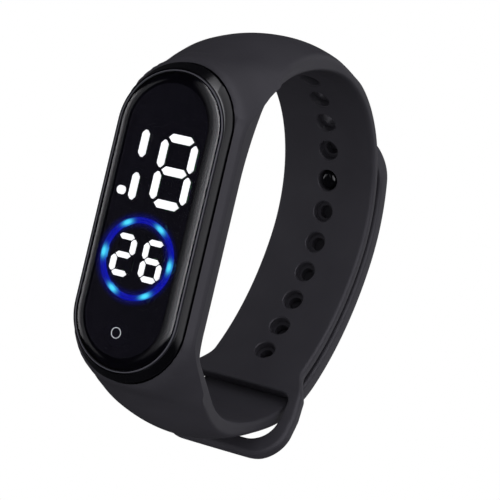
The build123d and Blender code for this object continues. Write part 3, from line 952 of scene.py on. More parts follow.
@dataclass(frozen=True)
class BoardFinish:
    """Green solder resist over faint copper tracks."""

    name: str = "board_green"
    resist: tuple = rgb(12, 66, 34)
    track: tuple = rgb(30, 104, 58)
    waves: tuple = (5.2, 4.1)
    contrast: float = 6.0
    relief: tuple = (0.3, 0.00002)

    def build(self) -> bpy.types.Material:
        """Builds the material.

        Returns:
            The finish.
        """
        graph = Graph(self.name)
        x, _, z = graph.place()
        along, up = self.waves
        tracks = ((x * along).cos() * (z * up).cos() * self.contrast).clamp()
        return graph.finish(
            Base_Color=graph.blend_colours(tracks, self.resist, self.track),
            Roughness=0.34,
            Coat_Weight=0.3,
            Normal=graph.bump(tracks, *self.relief),
        )


# Strap


@dataclass(frozen=True)
class BandRow:
    """A section of the strap's root, by the degrees the path has turned there."""

    turned: float
    tilt: float
    thickness: float
    half_width: float
    crown: float
    edge: float


def band_rows(*rows: tuple) -> list:
    """Rows of numbers as sections."""
    return [BandRow(*row) for row in rows]


@dataclass
class StrapSizes:
    """Driving sizes of the strap, as in the CAD part."""

    start_y: float = 6.4 - MODULE_DEPTH
    upper_straight: float = 8.4996
    lower_straight: float = 13.9995
    upper_arcs: tuple = ((37.0, 16.2), (6.5, 38.8), (34.0, 14.0), (43.5, 18.2), (23.0, 102.6), (39.3, 39.2))
    lower_arcs: tuple = ((12.0, 12.4), (3.5, 40.6), (180.0, 2.8), (20.0, 32.0), (38.0, 17.0))
    arm: tuple = (2.7, 8.6, 0.9, 0.8)
    tail: tuple = (3.1, 8.5, 0.3, 0.8)
    settle: float = 9.0
    body_start: float = 0.4
    inner_edge: float = 0.6
    end_edge: float = 0.8
    tail_gap: float = 0.3
    stud_turn: float = 162.0
    stud_hole: int = 5
    hole_count: int = 11
    hole_pitch: float = 5.301
    counterbore: tuple = (1.72, 1.35)
    bore: float = 1.12
    stud_bore: float = 1.78
    hole_edge: float = 0.14
    stud_hole_top: float = 5.0
    stud_seat: tuple = (0.98, 2.63, 0.8)
    bend: tuple = (16.0, 5.0)
    past_crossing: float = 40.0
    tail_past_stud: float = 8.4
    tail_corner: float = 8.0
    loop_bend: tuple = (5.0, 22.0)
    loop_length: float = 11.3
    loop_half_width: float = 11.6
    loop_shoulder: tuple = (11.1, 3.0)
    loop_corner: float = 5.6
    loop_thickness: float = 2.5
    loop_crown: float = 0.06
    flare: float = 4.2
    slot: tuple = (-0.5, 9.2, 9.15, 1.7, 4.2)
    slot_edge: float = 0.45
    slot_run_out: float = 0.7
    collar: tuple = (9.6, 24.25)
    collar_flare: tuple = (
        (2.2, 0), (2.9, 0.6), (3.7, 0.95), (4.6, 1.2), (7.7, 2.3), (11.5, 4.2), (15.0, 6.2))
    collar_slope: float = 1.75
    collar_turn: float = 84.0
    collar_reach: float = 60.0
    rise_turn: float = 86.0
    pocket: tuple = ((9.55, 24.2, 4.8), (8.75, 23.35, 16.0))
    collar_skin: float = 0.85
    collar_blend: float = 0.9
    weld_turn: float = 72.0
    split_turn: float = 147.0
    overrun: float = 3.0
    upper_rows: list = field(default_factory=lambda: band_rows(
        (0, 0, 4.2, 10.65, 0.1, 0.3), (8, 10, 4.65, 10.65, 0.2, 0.3), (16.2, 24, 6.2, 10.6, 0.4, 0.3),
        (35, 32.6, 7.2, 10.5, 1.0, 0.5), (55, 50, 4.7, 10.2, 2.1, 0.8), (62, 61, 3.9, 9.75, 2.2, 0.8),
        (69, 69, 4.1, 9.3, 2.0, 0.8), (78, 78, 4.3, 8.9, 1.8, 0.8), (87, 87, 4.1, 8.6, 1.9, 0.8),
        (96, 96, 3.3, 8.6, 1.6, 0.8), (105, 105, 2.8, 8.6, 1.3, 0.8), (112, 112, 2.7, 8.6, 0.9, 0.8)))
    lower_rows: list = field(default_factory=lambda: band_rows(
        (0, 0, 4.2, 10.65, 0.1, 0.3), (12.4, 20, 4.85, 10.6, 0.4, 0.3), (53, 45, 7.8, 10.4, 1.2, 0.5),
        (54.4, 54, 5.5, 10.1, 2.0, 0.6), (55.8, 55.8, 4.6, 9.6, 2.0, 0.7), (66, 66, 4.3, 9.1, 1.8, 0.8),
        (78, 78, 4.3, 8.7, 1.8, 0.8), (87.8, 87.8, 4.2, 8.6, 1.8, 0.8), (93, 93, 3.8, 8.6, 1.7, 0.8),
        (99, 99, 3.3, 8.6, 1.4, 0.8), (104.8, 104.8, 3.0, 8.6, 1.0, 0.8), (115, 115, 2.95, 8.5, 0.6, 0.8)))


@dataclass(frozen=True)
class StrapMesh:
    """How finely the strap's mesh follows its sizes, in millimetres, degrees and counts."""

    step: float = 0.42
    tip_rings: int = 26
    sample: float = 0.1
    margin: float = 8.0
    row_blur: tuple = (30, 9.0)
    flare_samples: tuple = (-3.0, 12.0, 601)
    flare_blur: tuple = (24, 8.0)
    flare_lift: float = 0.02
    samples: int = 240
    least_side: float = 0.12
    inner_share: float = 0.45
    edge_share: float = 0.5
    least_reach: float = 0.5
    squeezed_share: float = 0.02
    crease: float = 38.0
    edge_steps: int = 7
    slot_steps: int = 12
    hole_steps: int = 40
    stud_steps: int = 56
    arch_steps: int = 14
    side_steps: int = 4
    face_steps: int = 9


class Path:
    """A chain of straights and tangent arcs that the strap's inner face follows."""

    def __init__(self, y: float, z: float, side: int, steps: list) -> None:
        """Starts upright behind the module.

        Args:
            y: Start in Y.
            z: Start in Z.
            side: 1 for the arm that leaves upward and -1 for the one that leaves downward.
            steps: Rows of (radius, turn), or (length, None) for a straight.
        """
        self.side = side
        self.places = [(0.0, y, z, 0.0)]
        self.steps = []
        for size, turn in steps:
            self.extend(size, turn)

    @property
    def length(self) -> float:
        """The whole length."""
        return self.places[-1][0]

    @property
    def heading(self) -> float:
        """The degrees turned at the end."""
        return self.places[-1][3]

    def extend(self, size: float, turn: float | None) -> None:
        """Adds an arc or a straight.

        Args:
            size: The arc's radius or the straight's length.
            turn: The arc's turn in degrees, or None for a straight.
        """
        run = size if turn is None else size * math.radians(abs(turn))
        self.steps.append((size, turn, run))
        self.places.append(self.part_way(self.places[-1], self.steps[-1], 1.0))

    def part_way(self, place: tuple, step: tuple, share: float) -> tuple:
        """Follows a share of one step.

        Args:
            place: Where the step starts: (distance, y, z, heading).
            step: Its (size, turn, run).
            share: How much of it is followed, from 0 to 1.

        Returns:
            The place reached.
        """
        s, y, z, heading = place
        size, turn, run = step
        start = math.radians(heading)
        if turn is None:
            y += run * share * math.sin(start)
            z += self.side * run * share * math.cos(start)
            return s + run * share, y, z, heading
        end = math.radians(heading + turn * share)
        bend = math.copysign(size, turn)
        y += bend * (math.cos(start) - math.cos(end))
        z += self.side * bend * (math.sin(end) - math.sin(start))
        return s + run * share, y, z, heading + turn * share

    def at(self, s: float) -> tuple:
        """Finds a place along the path.

        Args:
            s: The distance along it.

        Returns:
            (y, z, heading).
        """
        for place, step in zip(self.places, self.steps):
            run = step[2]
            if s <= place[0] + run + TOUCH:
                return self.part_way(place, step, max(0.0, (s - place[0]) / run))[1:]
        return self.places[-1][1:]

    def distance(self, heading: float) -> float:
        """Finds where the path has turned so far.

        Args:
            heading: The turn in degrees.

        Returns:
            The first distance with that turn.
        """
        for place, (_, turn, run) in zip(self.places, self.steps):
            if turn and place[3] <= heading <= place[3] + turn:
                return place[0] + run * (heading - place[3]) / turn
        return self.length

    def outward(self, heading: float) -> np.ndarray:
        """The direction away from the wrist at a heading."""
        angle = math.radians(heading)
        return np.array([0.0, -math.cos(angle), self.side * math.sin(angle)])

    def along(self, heading: float) -> np.ndarray:
        """The direction of the path at a heading."""
        angle = math.radians(heading)
        return np.array([0.0, math.sin(angle), self.side * math.cos(angle)])

    def hub(self, index: int) -> np.ndarray:
        """Finds an arc's centre.

        Args:
            index: Which step the arc is.

        Returns:
            Its centre (y, z).
        """
        size = self.steps[index][0]
        _, y, z, heading = self.places[index]
        out = self.outward(heading)
        return np.array([y - size * out[1], z - size * out[2]])


class Strap:
    """The one-piece strap as two meshes: the body, and the end past the split, which holds the stud's seat.
    """

    def __init__(self, sizes: StrapSizes, mesh: StrapMesh, finish: bpy.types.Material) -> None:
        """Lays out the paths of both arms.

        Args:
            sizes: The strap's sizes.
            mesh: How finely it is drawn.
            finish: The rubber.
        """
        self.sizes = sizes
        self.mesh = mesh
        self.finish = finish
        upper = [(sizes.upper_straight, None), *sizes.upper_arcs]
        self.upper = Path(sizes.start_y, 0.0, 1, upper)
        self.arm_end = self.upper.length
        self.upper.extend(sizes.loop_bend[0], -sizes.loop_bend[1])
        self.loop_start = self.upper.length
        self.upper.extend(sizes.loop_length, None)
        self.lower = self.short_arm()

    def short_arm(self) -> Path:
        """Leads the short arm under the module, up against the long arm and along its outside.

        Returns:
            Its path.
        """
        z = self.sizes
        path = Path(z.start_y, 0.0, -1, [(z.lower_straight, None), *z.lower_arcs])
        lift = z.arm[0] + z.tail_gap
        last = len(z.upper_arcs)
        hub = self.upper.hub(last)
        reach = z.upper_arcs[-1][0] + lift
        _, y, w, heading = path.places[-1]
        out = path.outward(heading)
        off = np.array([y, w]) - hub
        radius = (reach**2 - off @ off) / (2 * (reach - off @ out[1:]))
        middle = np.array([y, w]) - radius * out[1:]
        met = math.degrees(math.atan2(-(middle[1] - hub[1]), hub[0] - middle[0])) % 360
        path.extend(radius, met - heading)
        crossing = 360 - self.upper.places[last][3]
        path.extend(reach, crossing - met)
        path.extend(z.upper_arcs[-2][0] + lift, 360 - z.stud_turn - crossing + z.past_crossing)
        return path

    # Sections

    def rows_by_length(self, path: Path, rows: list, straight: float, after: tuple) -> tuple:
        """Places the root's sections along the path.

        Args:
            path: The arm's path.
            rows: Its sections.
            straight: Where the first section ends, beside the module.
            after: Thickness, half width, crown and edge of the plain arm.

        Returns:
            Distances, and rows of (lean, thickness, half width, crown, edge).
        """
        where = [0.0]
        where += [straight if row.turned == 0 else path.distance(row.turned) for row in rows]
        values = []
        for row in (rows[0], *rows):
            values.append([row.tilt - row.turned, row.thickness, row.half_width, row.crown, row.edge])
        where.append(where[-1] + self.sizes.settle)
        values.append([0.0, *after])
        return np.array(where), np.array(values)

    def stations(self, path: Path, lengths: np.ndarray, rows: tuple) -> np.ndarray:
        """Reads the section values at each length, softened along the path.

        Args:
            path: The arm's path.
            lengths: Distances along it.
            rows: What rows_by_length gives.

        Returns:
            A row of section values for each length.
        """
        where, values = rows
        margin = self.mesh.margin
        fine = np.arange(-margin, path.length + margin, self.mesh.sample)
        columns = []
        for k in range(values.shape[1]):
            raw = np.interp(np.abs(fine), where, values[:, k])
            columns.append(np.interp(lengths, fine, softened(raw, *self.mesh.row_blur)))
        return np.array(columns).T

    @staticmethod
    def crown_height(across: float | np.ndarray, half_width: float, top: float, rise: float) -> np.ndarray:
        """Height of the crowned outer face at places across it."""
        return top - (top - rise) * (np.asarray(across) / half_width) ** 2

    def outline(self, section: np.ndarray, inner: float, inset: float) -> np.ndarray:
        """Draws one section, with the same count of points for any size.

        Args:
            section: Thickness, half width, crown and edge.
            inner: Radius of the inner edges.
            inset: How far both faces are drawn in.

        Returns:
            Points (across, outward).
        """
        mesh = self.mesh
        thickness, half_width, crown, edge = section
        low, top = inset, thickness - inset
        rise = max(top - crown, low + mesh.least_side)
        inner = min(inner, mesh.inner_share * (rise - low))
        edge = min(edge, mesh.edge_share * (rise - low), mesh.edge_share * half_width)
        flat = np.linspace(0, half_width - inner, mesh.face_steps)
        corner = np.radians(np.linspace(-90, 0, mesh.edge_steps))[1:]
        side = np.linspace(low + inner, rise - edge, mesh.side_steps)[1:]
        t = np.linspace(0, 1, mesh.face_steps)[1:, None]
        arch = np.linspace(half_width - edge, 0, mesh.arch_steps)[1:]
        crowned = (half_width, top, rise)
        start = np.array([half_width, rise - edge])
        tip = np.array([half_width, self.crown_height(half_width, *crowned)])
        end = np.array([half_width - edge, self.crown_height(half_width - edge, *crowned)])
        curve = (1 - t) ** 2 * start + 2 * t * (1 - t) * tip + t**2 * end
        right = np.vstack([
            np.c_[flat, np.full(len(flat), low)],
            np.c_[half_width - inner + inner * np.cos(corner), low + inner + inner * np.sin(corner)],
            np.c_[np.full(len(side), half_width), side],
            curve,
            np.c_[arch, self.crown_height(arch, *crowned)],
        ])
        left = right[1:-1][::-1] * [-1, 1]
        return np.vstack([right, left])

    def flare_curve(self) -> tuple:
        """Draws how the collar's outer face falls away from the module.

        Returns:
            Distances outside the collar's outline, and the outer face's least depth at each.
        """
        mesh = self.mesh
        depths, outsets = (np.array(column, float) for column in zip(*self.sizes.collar_flare))
        fine = np.linspace(*mesh.flare_samples)
        raw = np.interp(fine, outsets, depths)
        beyond = fine > outsets[-1]
        raw[beyond] = depths[-1] + (fine[beyond] - outsets[-1]) * self.sizes.collar_slope
        soft = softened(raw, *mesh.flare_blur)
        return fine, soft + np.linspace(0, mesh.flare_lift, len(soft))

    def inner_depth(self, path: Path, z: np.ndarray) -> np.ndarray:
        """Depth of the strap's inner face at a height, where the path still rises.

        Args:
            path: The arm's path.
            z: Heights.

        Returns:
            A depth for each height.
        """
        lengths = np.linspace(0, path.distance(self.sizes.rise_turn), self.mesh.samples)
        places = [path.at(s) for s in lengths]
        heights = [abs(place[1]) for place in places]
        return np.interp(np.abs(z), heights, [place[0] + MODULE_DEPTH for place in places])

    def hold_in_collar(self, path: Path, points: np.ndarray, share: np.ndarray) -> np.ndarray:
        """Moves a section's points inside the collar's envelope around the module.

        Args:
            path: The path that the section belongs to.
            points: 3-D points of the section.
            share: 0 on the inner face, 1 on the outer face.

        Returns:
            The moved points: back to the flare's depth, then in to its outline.
        """
        half_width, half_height = self.sizes.collar
        outsets, depths = self.flare_curve()
        over = np.maximum(np.abs(points[:, 2]) - (half_height - half_width), 0)
        distance = np.hypot(points[:, 0], over) - half_width
        need = np.interp(distance, outsets, depths)
        depth = points[:, 1] + MODULE_DEPTH
        blend = self.sizes.collar_blend * share
        held = 0.5 * (depth + need + np.sqrt((depth - need) ** 2 + blend**2))
        floor = self.inner_depth(path, points[:, 2]) - self.sizes.collar_skin * share
        depth = np.where(share > 0, np.maximum(np.minimum(held, floor), depth), depth)
        reach = half_width + np.interp(depth, depths, outsets)
        limit = np.sqrt(np.maximum(reach**2 - over**2, self.mesh.least_reach))
        wide = np.abs(points[:, 0])
        squeezed = limit + self.mesh.squeezed_share * (wide - limit)
        points[:, 0] = np.sign(points[:, 0]) * np.where(wide > limit, squeezed, wide)
        points[:, 1] = depth - MODULE_DEPTH
        return points

    def ring(self, path: Path, s: float, values: np.ndarray, inner: float, inset: float) -> np.ndarray:
        """Places one section, held within the collar's envelope near the module.

        Args:
            path: The arm's path.
            s: The distance along it.
            values: Lean, thickness, half width, crown and edge.
            inner: Radius of the inner edges.
            inset: How far both faces are drawn in.

        Returns:
            3-D points.
        """
        y, z, heading = path.at(s)
        lean, thickness, _, crown, _ = values
        outline = self.outline(values[1:], inner, inset)
        out = path.outward(heading + lean)
        points = np.array([0.0, y, z]) + outline[:, :1] * np.array([1.0, 0, 0]) + outline[:, 1:] * out
        if heading < self.sizes.collar_turn and s < self.sizes.collar_reach:
            share = np.clip(outline[:, 1] / (thickness - crown), 0, 1)
            points = self.hold_in_collar(path, points, eased(share))
        return points

    def loop_values(self, s: float, values: np.ndarray) -> tuple:
        """Turns the arm's section into the neck's and the loop's.

        Args:
            s: The distance along the long arm.
            values: The arm's section values there.

        Returns:
            The section values, the inner edges' radius and the inset of the rounded end.
        """
        z = self.sizes
        begin = self.arm_end - z.flare
        if s <= begin:
            return values, z.inner_edge, 0.0
        soft = eased(min(1.0, (s - begin) / (self.loop_start - begin)))
        target = np.array([0.0, z.loop_thickness, z.loop_shoulder[0], z.loop_crown, z.arm[3]])
        values = values + (target - values) * soft
        values[0] = 0.0
        along = s - self.loop_start
        if along > 0:
            wide, reach = z.loop_shoulder
            values[2] = wide + (z.loop_half_width - wide) * min(1.0, along / reach)
        values[2] = self.rounded_end(values[2], s, self.upper.length, z.loop_corner)
        return values, z.inner_edge + (z.arm[3] - z.inner_edge) * soft, self.end_inset(s, self.upper.length)

    @staticmethod
    def rounded_end(half_width: float, s: float, end: float, radius: float) -> float:
        """Narrows the outline where its corners are rounded towards its end.

        Args:
            half_width: Half width before the corners.
            s: The distance along the arm.
            end: Where the arm ends.
            radius: The corners' radius.

        Returns:
            The half width at that distance.
        """
        over = s - (end - radius)
        if over <= 0:
            return half_width
        return half_width - radius + math.sqrt(max(radius**2 - over**2, 0.0))

    def end_inset(self, s: float, end: float) -> float:
        """Draws both faces in where the end's edges are rounded.

        Args:
            s: The distance along the arm.
            end: Where the arm ends.

        Returns:
            How far each face is drawn in.
        """
        radius = self.sizes.end_edge
        near = end - s
        if near >= radius:
            return 0.0
        return radius - math.sqrt(max(radius**2 - (radius - near) ** 2, 0.0))

    def spread(self, start: float, end: float, corner: float) -> np.ndarray:
        """Spaces the sections evenly, and closer together towards a rounded end.

        Args:
            start: The first distance.
            end: The last distance.
            corner: Length of the rounded end, or 0.

        Returns:
            The distances.
        """
        count = round((end - corner - start) / self.mesh.step)
        plain = np.linspace(start, end - corner, max(2, count))
        if not corner:
            return plain
        turn = np.linspace(0, math.pi / 2, self.mesh.tip_rings)[1:]
        return np.r_[plain, end - corner + corner * np.sin(turn)]

    # Meshes

    def short_rings(self, start: float, end: float, tip: bool = False) -> list:
        """Draws the short arm between two distances.

        Args:
            start: The first distance.
            end: The last distance.
            tip: True where it narrows to its rounded tip.

        Returns:
            Rings of 3-D points.
        """
        z = self.sizes
        rows = self.rows_by_length(self.lower, z.lower_rows, z.lower_straight, z.tail)
        lengths = self.spread(start, end, z.tail_corner if tip else 0.0)
        rings = []
        for s, values in zip(lengths, self.stations(self.lower, lengths, rows)):
            inset = 0.0
            if tip:
                values[2] = self.rounded_end(values[2], s, end, z.tail_corner)
                inset = self.end_inset(s, end)
            rings.append(self.ring(self.lower, s, values, z.inner_edge, inset))
        return rings

    def long_rings(self) -> list:
        """Draws the long arm from the middle of the carrier to the loop's end.

        Returns:
            Rings of 3-D points.
        """
        z = self.sizes
        rows = self.rows_by_length(self.upper, z.upper_rows, z.upper_straight, z.arm)
        lengths = self.spread(0.0, self.upper.length, z.loop_corner)
        rings = []
        for s, values in zip(lengths, self.stations(self.upper, lengths, rows)):
            values, inner, inset = self.loop_values(s, values)
            rings.append(self.ring(self.upper, s, values, inner, inset))
        return rings

    def build_body(self) -> bpy.types.Object:
        """Builds the carrier, the long arm with holes and loop, and the short arm as far as the loop.

        Returns:
            One closed skin.
        """
        z = self.sizes
        weld_at = self.lower.distance(z.weld_turn)
        rings = self.short_rings(z.body_start, weld_at)[::-1] + self.long_rings()
        obj = skin_rings("strap_body", rings, Shade.SMOOTH)
        for cutter in (self.pocket_cutter, self.slot_cutter, self.hole_cutters, self.stud_hole_cutter):
            cut(obj, cutter())
        rest = self.short_rings(weld_at, self.lower.distance(z.split_turn))
        weld(obj, skin_rings("rest", rest, Shade.SMOOTH), rest[0])
        smooth(obj, Shade.BY_ANGLE, self.mesh.crease)
        LOG.info("strap body: %d faces", len(obj.data.polygons))
        return obj

    def build_end(self) -> bpy.types.Object:
        """Builds the rest of the short arm with its rounded tip and the stud's seat.

        Returns:
            One closed skin.
        """
        z = self.sizes
        end = self.stud_length() + z.tail_past_stud
        rings = self.short_rings(self.lower.distance(z.split_turn), end, tip=True)
        obj = skin_rings("strap_end", rings, Shade.SMOOTH)
        cut(obj, self.stud_seat_cutter())
        smooth(obj, Shade.BY_ANGLE, self.mesh.crease)
        LOG.info("strap end: %d faces", len(obj.data.polygons))
        return obj

    # Cutters

    def stud_length(self) -> float:
        """The stud's distance along the short arm."""
        return self.lower.distance(360 - self.sizes.stud_turn)

    def pocket_cutter(self) -> bpy.types.Object:
        """Builds the module's pocket, with a ledge behind it.

        Returns:
            The cutter.
        """
        (wide, high, seat), (width, height, back) = self.sizes.pocket
        rows = [(wide, high, -self.sizes.overrun), (wide, high, seat)]
        rows += [(width, height, seat), (width, height, back)]
        return stadium_stack("pocket_cutter", rows, shade=Shade.FLAT)

    def slot_outline(self, grow: float) -> np.ndarray:
        """Draws round the slot.

        Args:
            grow: How far outside the slot's own outline.

        Returns:
            Points (across, along), measured from the loop's start.
        """
        start, length, half_width, near, far = self.sizes.slot
        points = []
        corners = ((1, 0, near, -90), (1, 1, far, 0), (-1, 1, far, 90), (-1, 0, near, 180))
        for sx, sy, radius, first in corners:
            centre_x = sx * (half_width - radius)
            centre_y = start + (length - radius if sy else radius)
            turn = np.radians(np.linspace(first, first + 90, self.mesh.slot_steps))
            reach = radius + grow
            points.append(np.c_[centre_x + reach * np.cos(turn), centre_y + reach * np.sin(turn)])
        return np.vstack(points)

    def slot_cutter(self) -> bpy.types.Object:
        """Builds the loop's slot, flared at both faces so that its edges are rounded.

        Returns:
            The cutter.
        """
        z = self.sizes
        _, y, w, heading = self.upper.places[-2]
        along, out = self.upper.along(heading), self.upper.outward(heading)
        soft = z.slot_edge
        turn = np.linspace(0, math.pi / 2, self.mesh.edge_steps)
        heights = [(-z.slot_run_out, soft)]
        heights += [(soft - soft * math.sin(a), soft * (1 - math.cos(a))) for a in turn[::-1]]
        heights += [(z.loop_thickness - height, grow) for height, grow in heights[::-1]]
        loops = []
        for height, grow in heights:
            flat = self.slot_outline(grow)
            across = flat[:, :1] * [1.0, 0, 0]
            loops.append(np.array([0, y, w]) + across + flat[:, 1:] * along + height * out)
        return skin_rings("slot_cutter", loops, Shade.FLAT)

    @staticmethod
    def turned(profile: list, steps: int) -> list:
        """Turns a profile about Z.

        Args:
            profile: Rows of (radius, height).
            steps: Points round each ring.

        Returns:
            Rings of 3-D points.
        """
        turn = np.linspace(0, 2 * math.pi, steps, endpoint=False)
        return [np.c_[r * np.cos(turn), r * np.sin(turn), np.full(steps, h)] for r, h in profile]

    def hole_cutters(self) -> bpy.types.Object:
        """Builds the stepped holes along the long arm, without the stud's own.

        Returns:
            All cutters in one mesh.
        """
        z = self.sizes
        stud = self.upper.distance(z.stud_turn)
        first = stud - (z.stud_hole - 1) * z.hole_pitch
        last = first + (z.hole_count - 1) * z.hole_pitch
        points = [(0.0, *self.upper.at(s)[:2]) for s in np.linspace(first, last, self.mesh.samples)]
        (wide, deep), soft = z.counterbore, z.hole_edge
        profile = [(z.bore, -z.arm[0] - z.overrun / 2), (z.bore, -deep), (wide, -deep), (wide, -soft)]
        profile += [(wide + soft, 0.0), (wide + soft, z.overrun / 3)]
        drill = skin_rings("drill", self.turned(profile, self.mesh.hole_steps), Shade.FLAT)
        repeat = RepeatAlong(points, z.hole_count, drill, self.finish, skip=z.stud_hole - 1)
        cutters = repeat.build("hole_cutters")
        bpy.data.objects.remove(drill)
        return cutters

    def standing(self, name: str, path: Path, s: float, profile: list) -> bpy.types.Object:
        """Stands a turned body outward on the strap's inner face.

        Args:
            name: The object's name.
            path: The arm's path.
            s: The distance along it.
            profile: Rows of (radius, height above the inner face).

        Returns:
            The closed skin.
        """
        y, z, heading = path.at(s)
        along, out = path.along(heading), path.outward(heading)
        loops = []
        for loop in self.turned(profile, self.mesh.stud_steps):
            across = loop[:, :1] * [1.0, 0, 0]
            loops.append(np.array([0, y, z]) + across + loop[:, 1:2] * along + loop[:, 2:] * out)
        return skin_rings(name, loops, Shade.FLAT)

    def stud_hole_cutter(self) -> bpy.types.Object:
        """Builds the plain hole that holds the stud, with a rounded inner edge.

        Returns:
            The cutter.
        """
        z = self.sizes
        wide = z.stud_bore + z.hole_edge
        profile = [(wide, -z.overrun / 3), (wide, 0)]
        profile += [(z.stud_bore, z.hole_edge), (z.stud_bore, z.stud_hole_top)]
        return self.standing("stud_hole", self.upper, self.upper.distance(z.stud_turn), profile)

    def stud_seat_cutter(self) -> bpy.types.Object:
        """Builds the stud's bore through the tail and the seat of its cap.

        Returns:
            The cutter.
        """
        stem, cap, sink = self.sizes.stud_seat
        over = self.sizes.overrun
        top = self.sizes.tail[0] + self.sizes.tail[2] - sink
        profile = [(stem, -over / 2), (stem, top), (cap, top), (cap, top + over)]
        return self.standing("stud_seat", self.lower, self.stud_length(), profile)

    def hinge_line(self) -> tuple:
        """Finds the stretch of the short arm that bends.

        Returns:
            Its start and end in metres.
        """
        before, half = self.sizes.bend
        middle = self.stud_length() - before
        points = []
        for s in (middle - half, middle + half):
            y, z, _ = self.lower.at(s)
            points.append((0.0, y * MM, z * MM))
        return tuple(points)

    def build(self) -> None:
        """Builds both meshes, dresses them and ties the body mesh to the strap's body."""
        body = dress(self.build_body(), self.finish)
        end = dress(self.build_end(), self.finish)
        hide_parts("strap")
        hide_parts("strap_tail")
        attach(body, "strap")
        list(self.hinge_line())
        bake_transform(end)


# Module


@dataclass
class ModuleSizes:
    """Outside sizes of the display module."""

    lens: tuple = (8.5, 22.35)
    shoulder: float = 1.8
    drop: float = 0.75
    roll_steps: int = 19
    window: float = 0.55
    rim_start: float = 1.0
    rim_depth: float = 1.3
    rim_width: float = 0.5
    rim_edge: float = 0.06
    rim_corner: float = 0.05
    window_corner: tuple = (0.1, 0.04)
    gasket: tuple = (0.12, 0.18, 0.7, 1.7)
    gasket_steps: int = 9
    mouth_gap: float = 0.5
    lip: float = 0.1
    ledge: tuple = (0.3, 1.3, 1.7)
    bezel_front: float = 0.85
    bezel_edge: float = 0.08
    bezel_round: tuple = (0.03, 0.02)
    bezel_fall: tuple = (0.02, 0.05, 0.12)
    foot: tuple = (9.35, 24.0, 2.2, 4.75)
    body: tuple = (8.6, 23.2)
    rear: tuple = (8.3, 22.6, 8.3)
    recess: tuple = (7.63, 21.93, 8.0)
    room: tuple = (7.55, 21.4, 2.45)
    seat: tuple = (8.0, 21.85)


class Module:
    """Lens, gasket and housing of the display module."""

    def __init__(self, sizes: ModuleSizes) -> None:
        """Keeps the sizes.

        Args:
            sizes: The module's sizes.
        """
        self.sizes = sizes

    def build_lens(self, finish: bpy.types.Material, border: bpy.types.Material) -> bpy.types.Object:
        """Builds the window with its rolled edge and the rim under it.

        Args:
            finish: The window's finish.
            border: What is printed on the inside of the edge.

        Returns:
            The lens.
        """
        z = self.sizes
        wide, high = z.lens
        side, rise = z.window_corner
        turns = np.linspace(0, math.pi / 2, z.roll_steps)
        profile = [(z.shoulder * (1 - math.sin(a)), z.drop * (1 - math.cos(a))) for a in turns]
        profile += [
            (0.0, z.rim_start),
            (0.0, z.rim_depth - z.rim_edge),
            (z.rim_edge, z.rim_depth),
            (z.rim_width - z.rim_corner, z.rim_depth),
            (z.rim_width, z.rim_depth - z.rim_corner),
            (z.shoulder - side, z.window + rise),
            (z.shoulder, z.window),
        ]
        rows = [(wide - inset, high - inset, depth) for inset, depth in profile]
        lens = stadium_stack("lens_window", rows)
        dress(lens, finish).data.materials.append(border)
        count = len(stadium(wide, high))
        printed = range((z.roll_steps + 1) * count, (len(profile) - 1) * count)
        for face in lens.data.polygons:
            if face.index in printed:
                face.material_index = 1
        return lens

    def build_gasket(self, finish: bpy.types.Material) -> bpy.types.Object:
        """Builds the thin grey ring, with a rounded front edge.

        Args:
            finish: Its finish.

        Returns:
            The gasket.
        """
        gap, wall, front, back = self.sizes.gasket
        wide, high = (size + gap for size in self.sizes.lens)
        soft = wall / 2
        turns = np.linspace(0, math.pi, self.sizes.gasket_steps)
        profile = [(0.0, back)]
        profile += [(soft - soft * math.cos(a), front + soft - soft * math.sin(a)) for a in turns]
        profile.append((wall, back))
        rows = [(wide + out, high + out, depth) for out, depth in profile]
        return dress(stadium_stack("gasket_ring", rows, closed=True), finish)

    def build_case(self, finish: bpy.types.Material) -> bpy.types.Object:
        """Builds the bezel and housing as one closed skin.

        Args:
            finish: Its finish.

        Returns:
            The housing.
        """
        z = self.sizes
        wide, high = (size + z.mouth_gap for size in z.lens)
        front, soft = z.bezel_front, z.bezel_edge
        step, near, far = z.ledge
        side, rise = z.bezel_round
        out, up, fall = z.bezel_fall
        lip_wide, lip_high = wide + z.lip, high + z.lip
        rows = [
            (*z.seat, near),
            (wide - step, high - step, near),
            (wide - step, high - step, far),
            (wide, high, far),
            (wide, high, front + soft),
            (wide + side, high + side, front + rise),
            (wide + soft, high + soft, front),
            (lip_wide - side, lip_high - side, front + rise),
            (lip_wide + out, lip_high + up, front + fall),
            (*z.foot[:2], z.foot[2]),
            (*z.foot[:2], z.foot[3]),
            (*z.body, z.foot[3]),
            z.rear,
            (*z.recess[:2], z.rear[2]),
            z.recess,
            (*z.room[:2], z.recess[2]),
            z.room,
            (*z.seat, z.room[2]),
        ]
        return dress(stadium_stack("case_skin", rows, closed=True), finish)

    def build(self, looks: dict) -> None:
        """Builds the visible skins and ties them to the module.

        Args:
            looks: Materials by the name of their finish.
        """
        pieces = {
            "lens": (self.build_lens(looks["window"], looks["print"]), "lens_gloss"),
            "lens_gasket": (self.build_gasket(looks["gasket"]), "gasket_grey"),
            "case_shell": (self.build_case(looks["case"]), "case_plastic"),
        }
        for node, (piece, slot) in pieces.items():
            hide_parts(node)
            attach(piece, "module")
            LOG.info("%s stands for %s", piece.name, node)


# Display


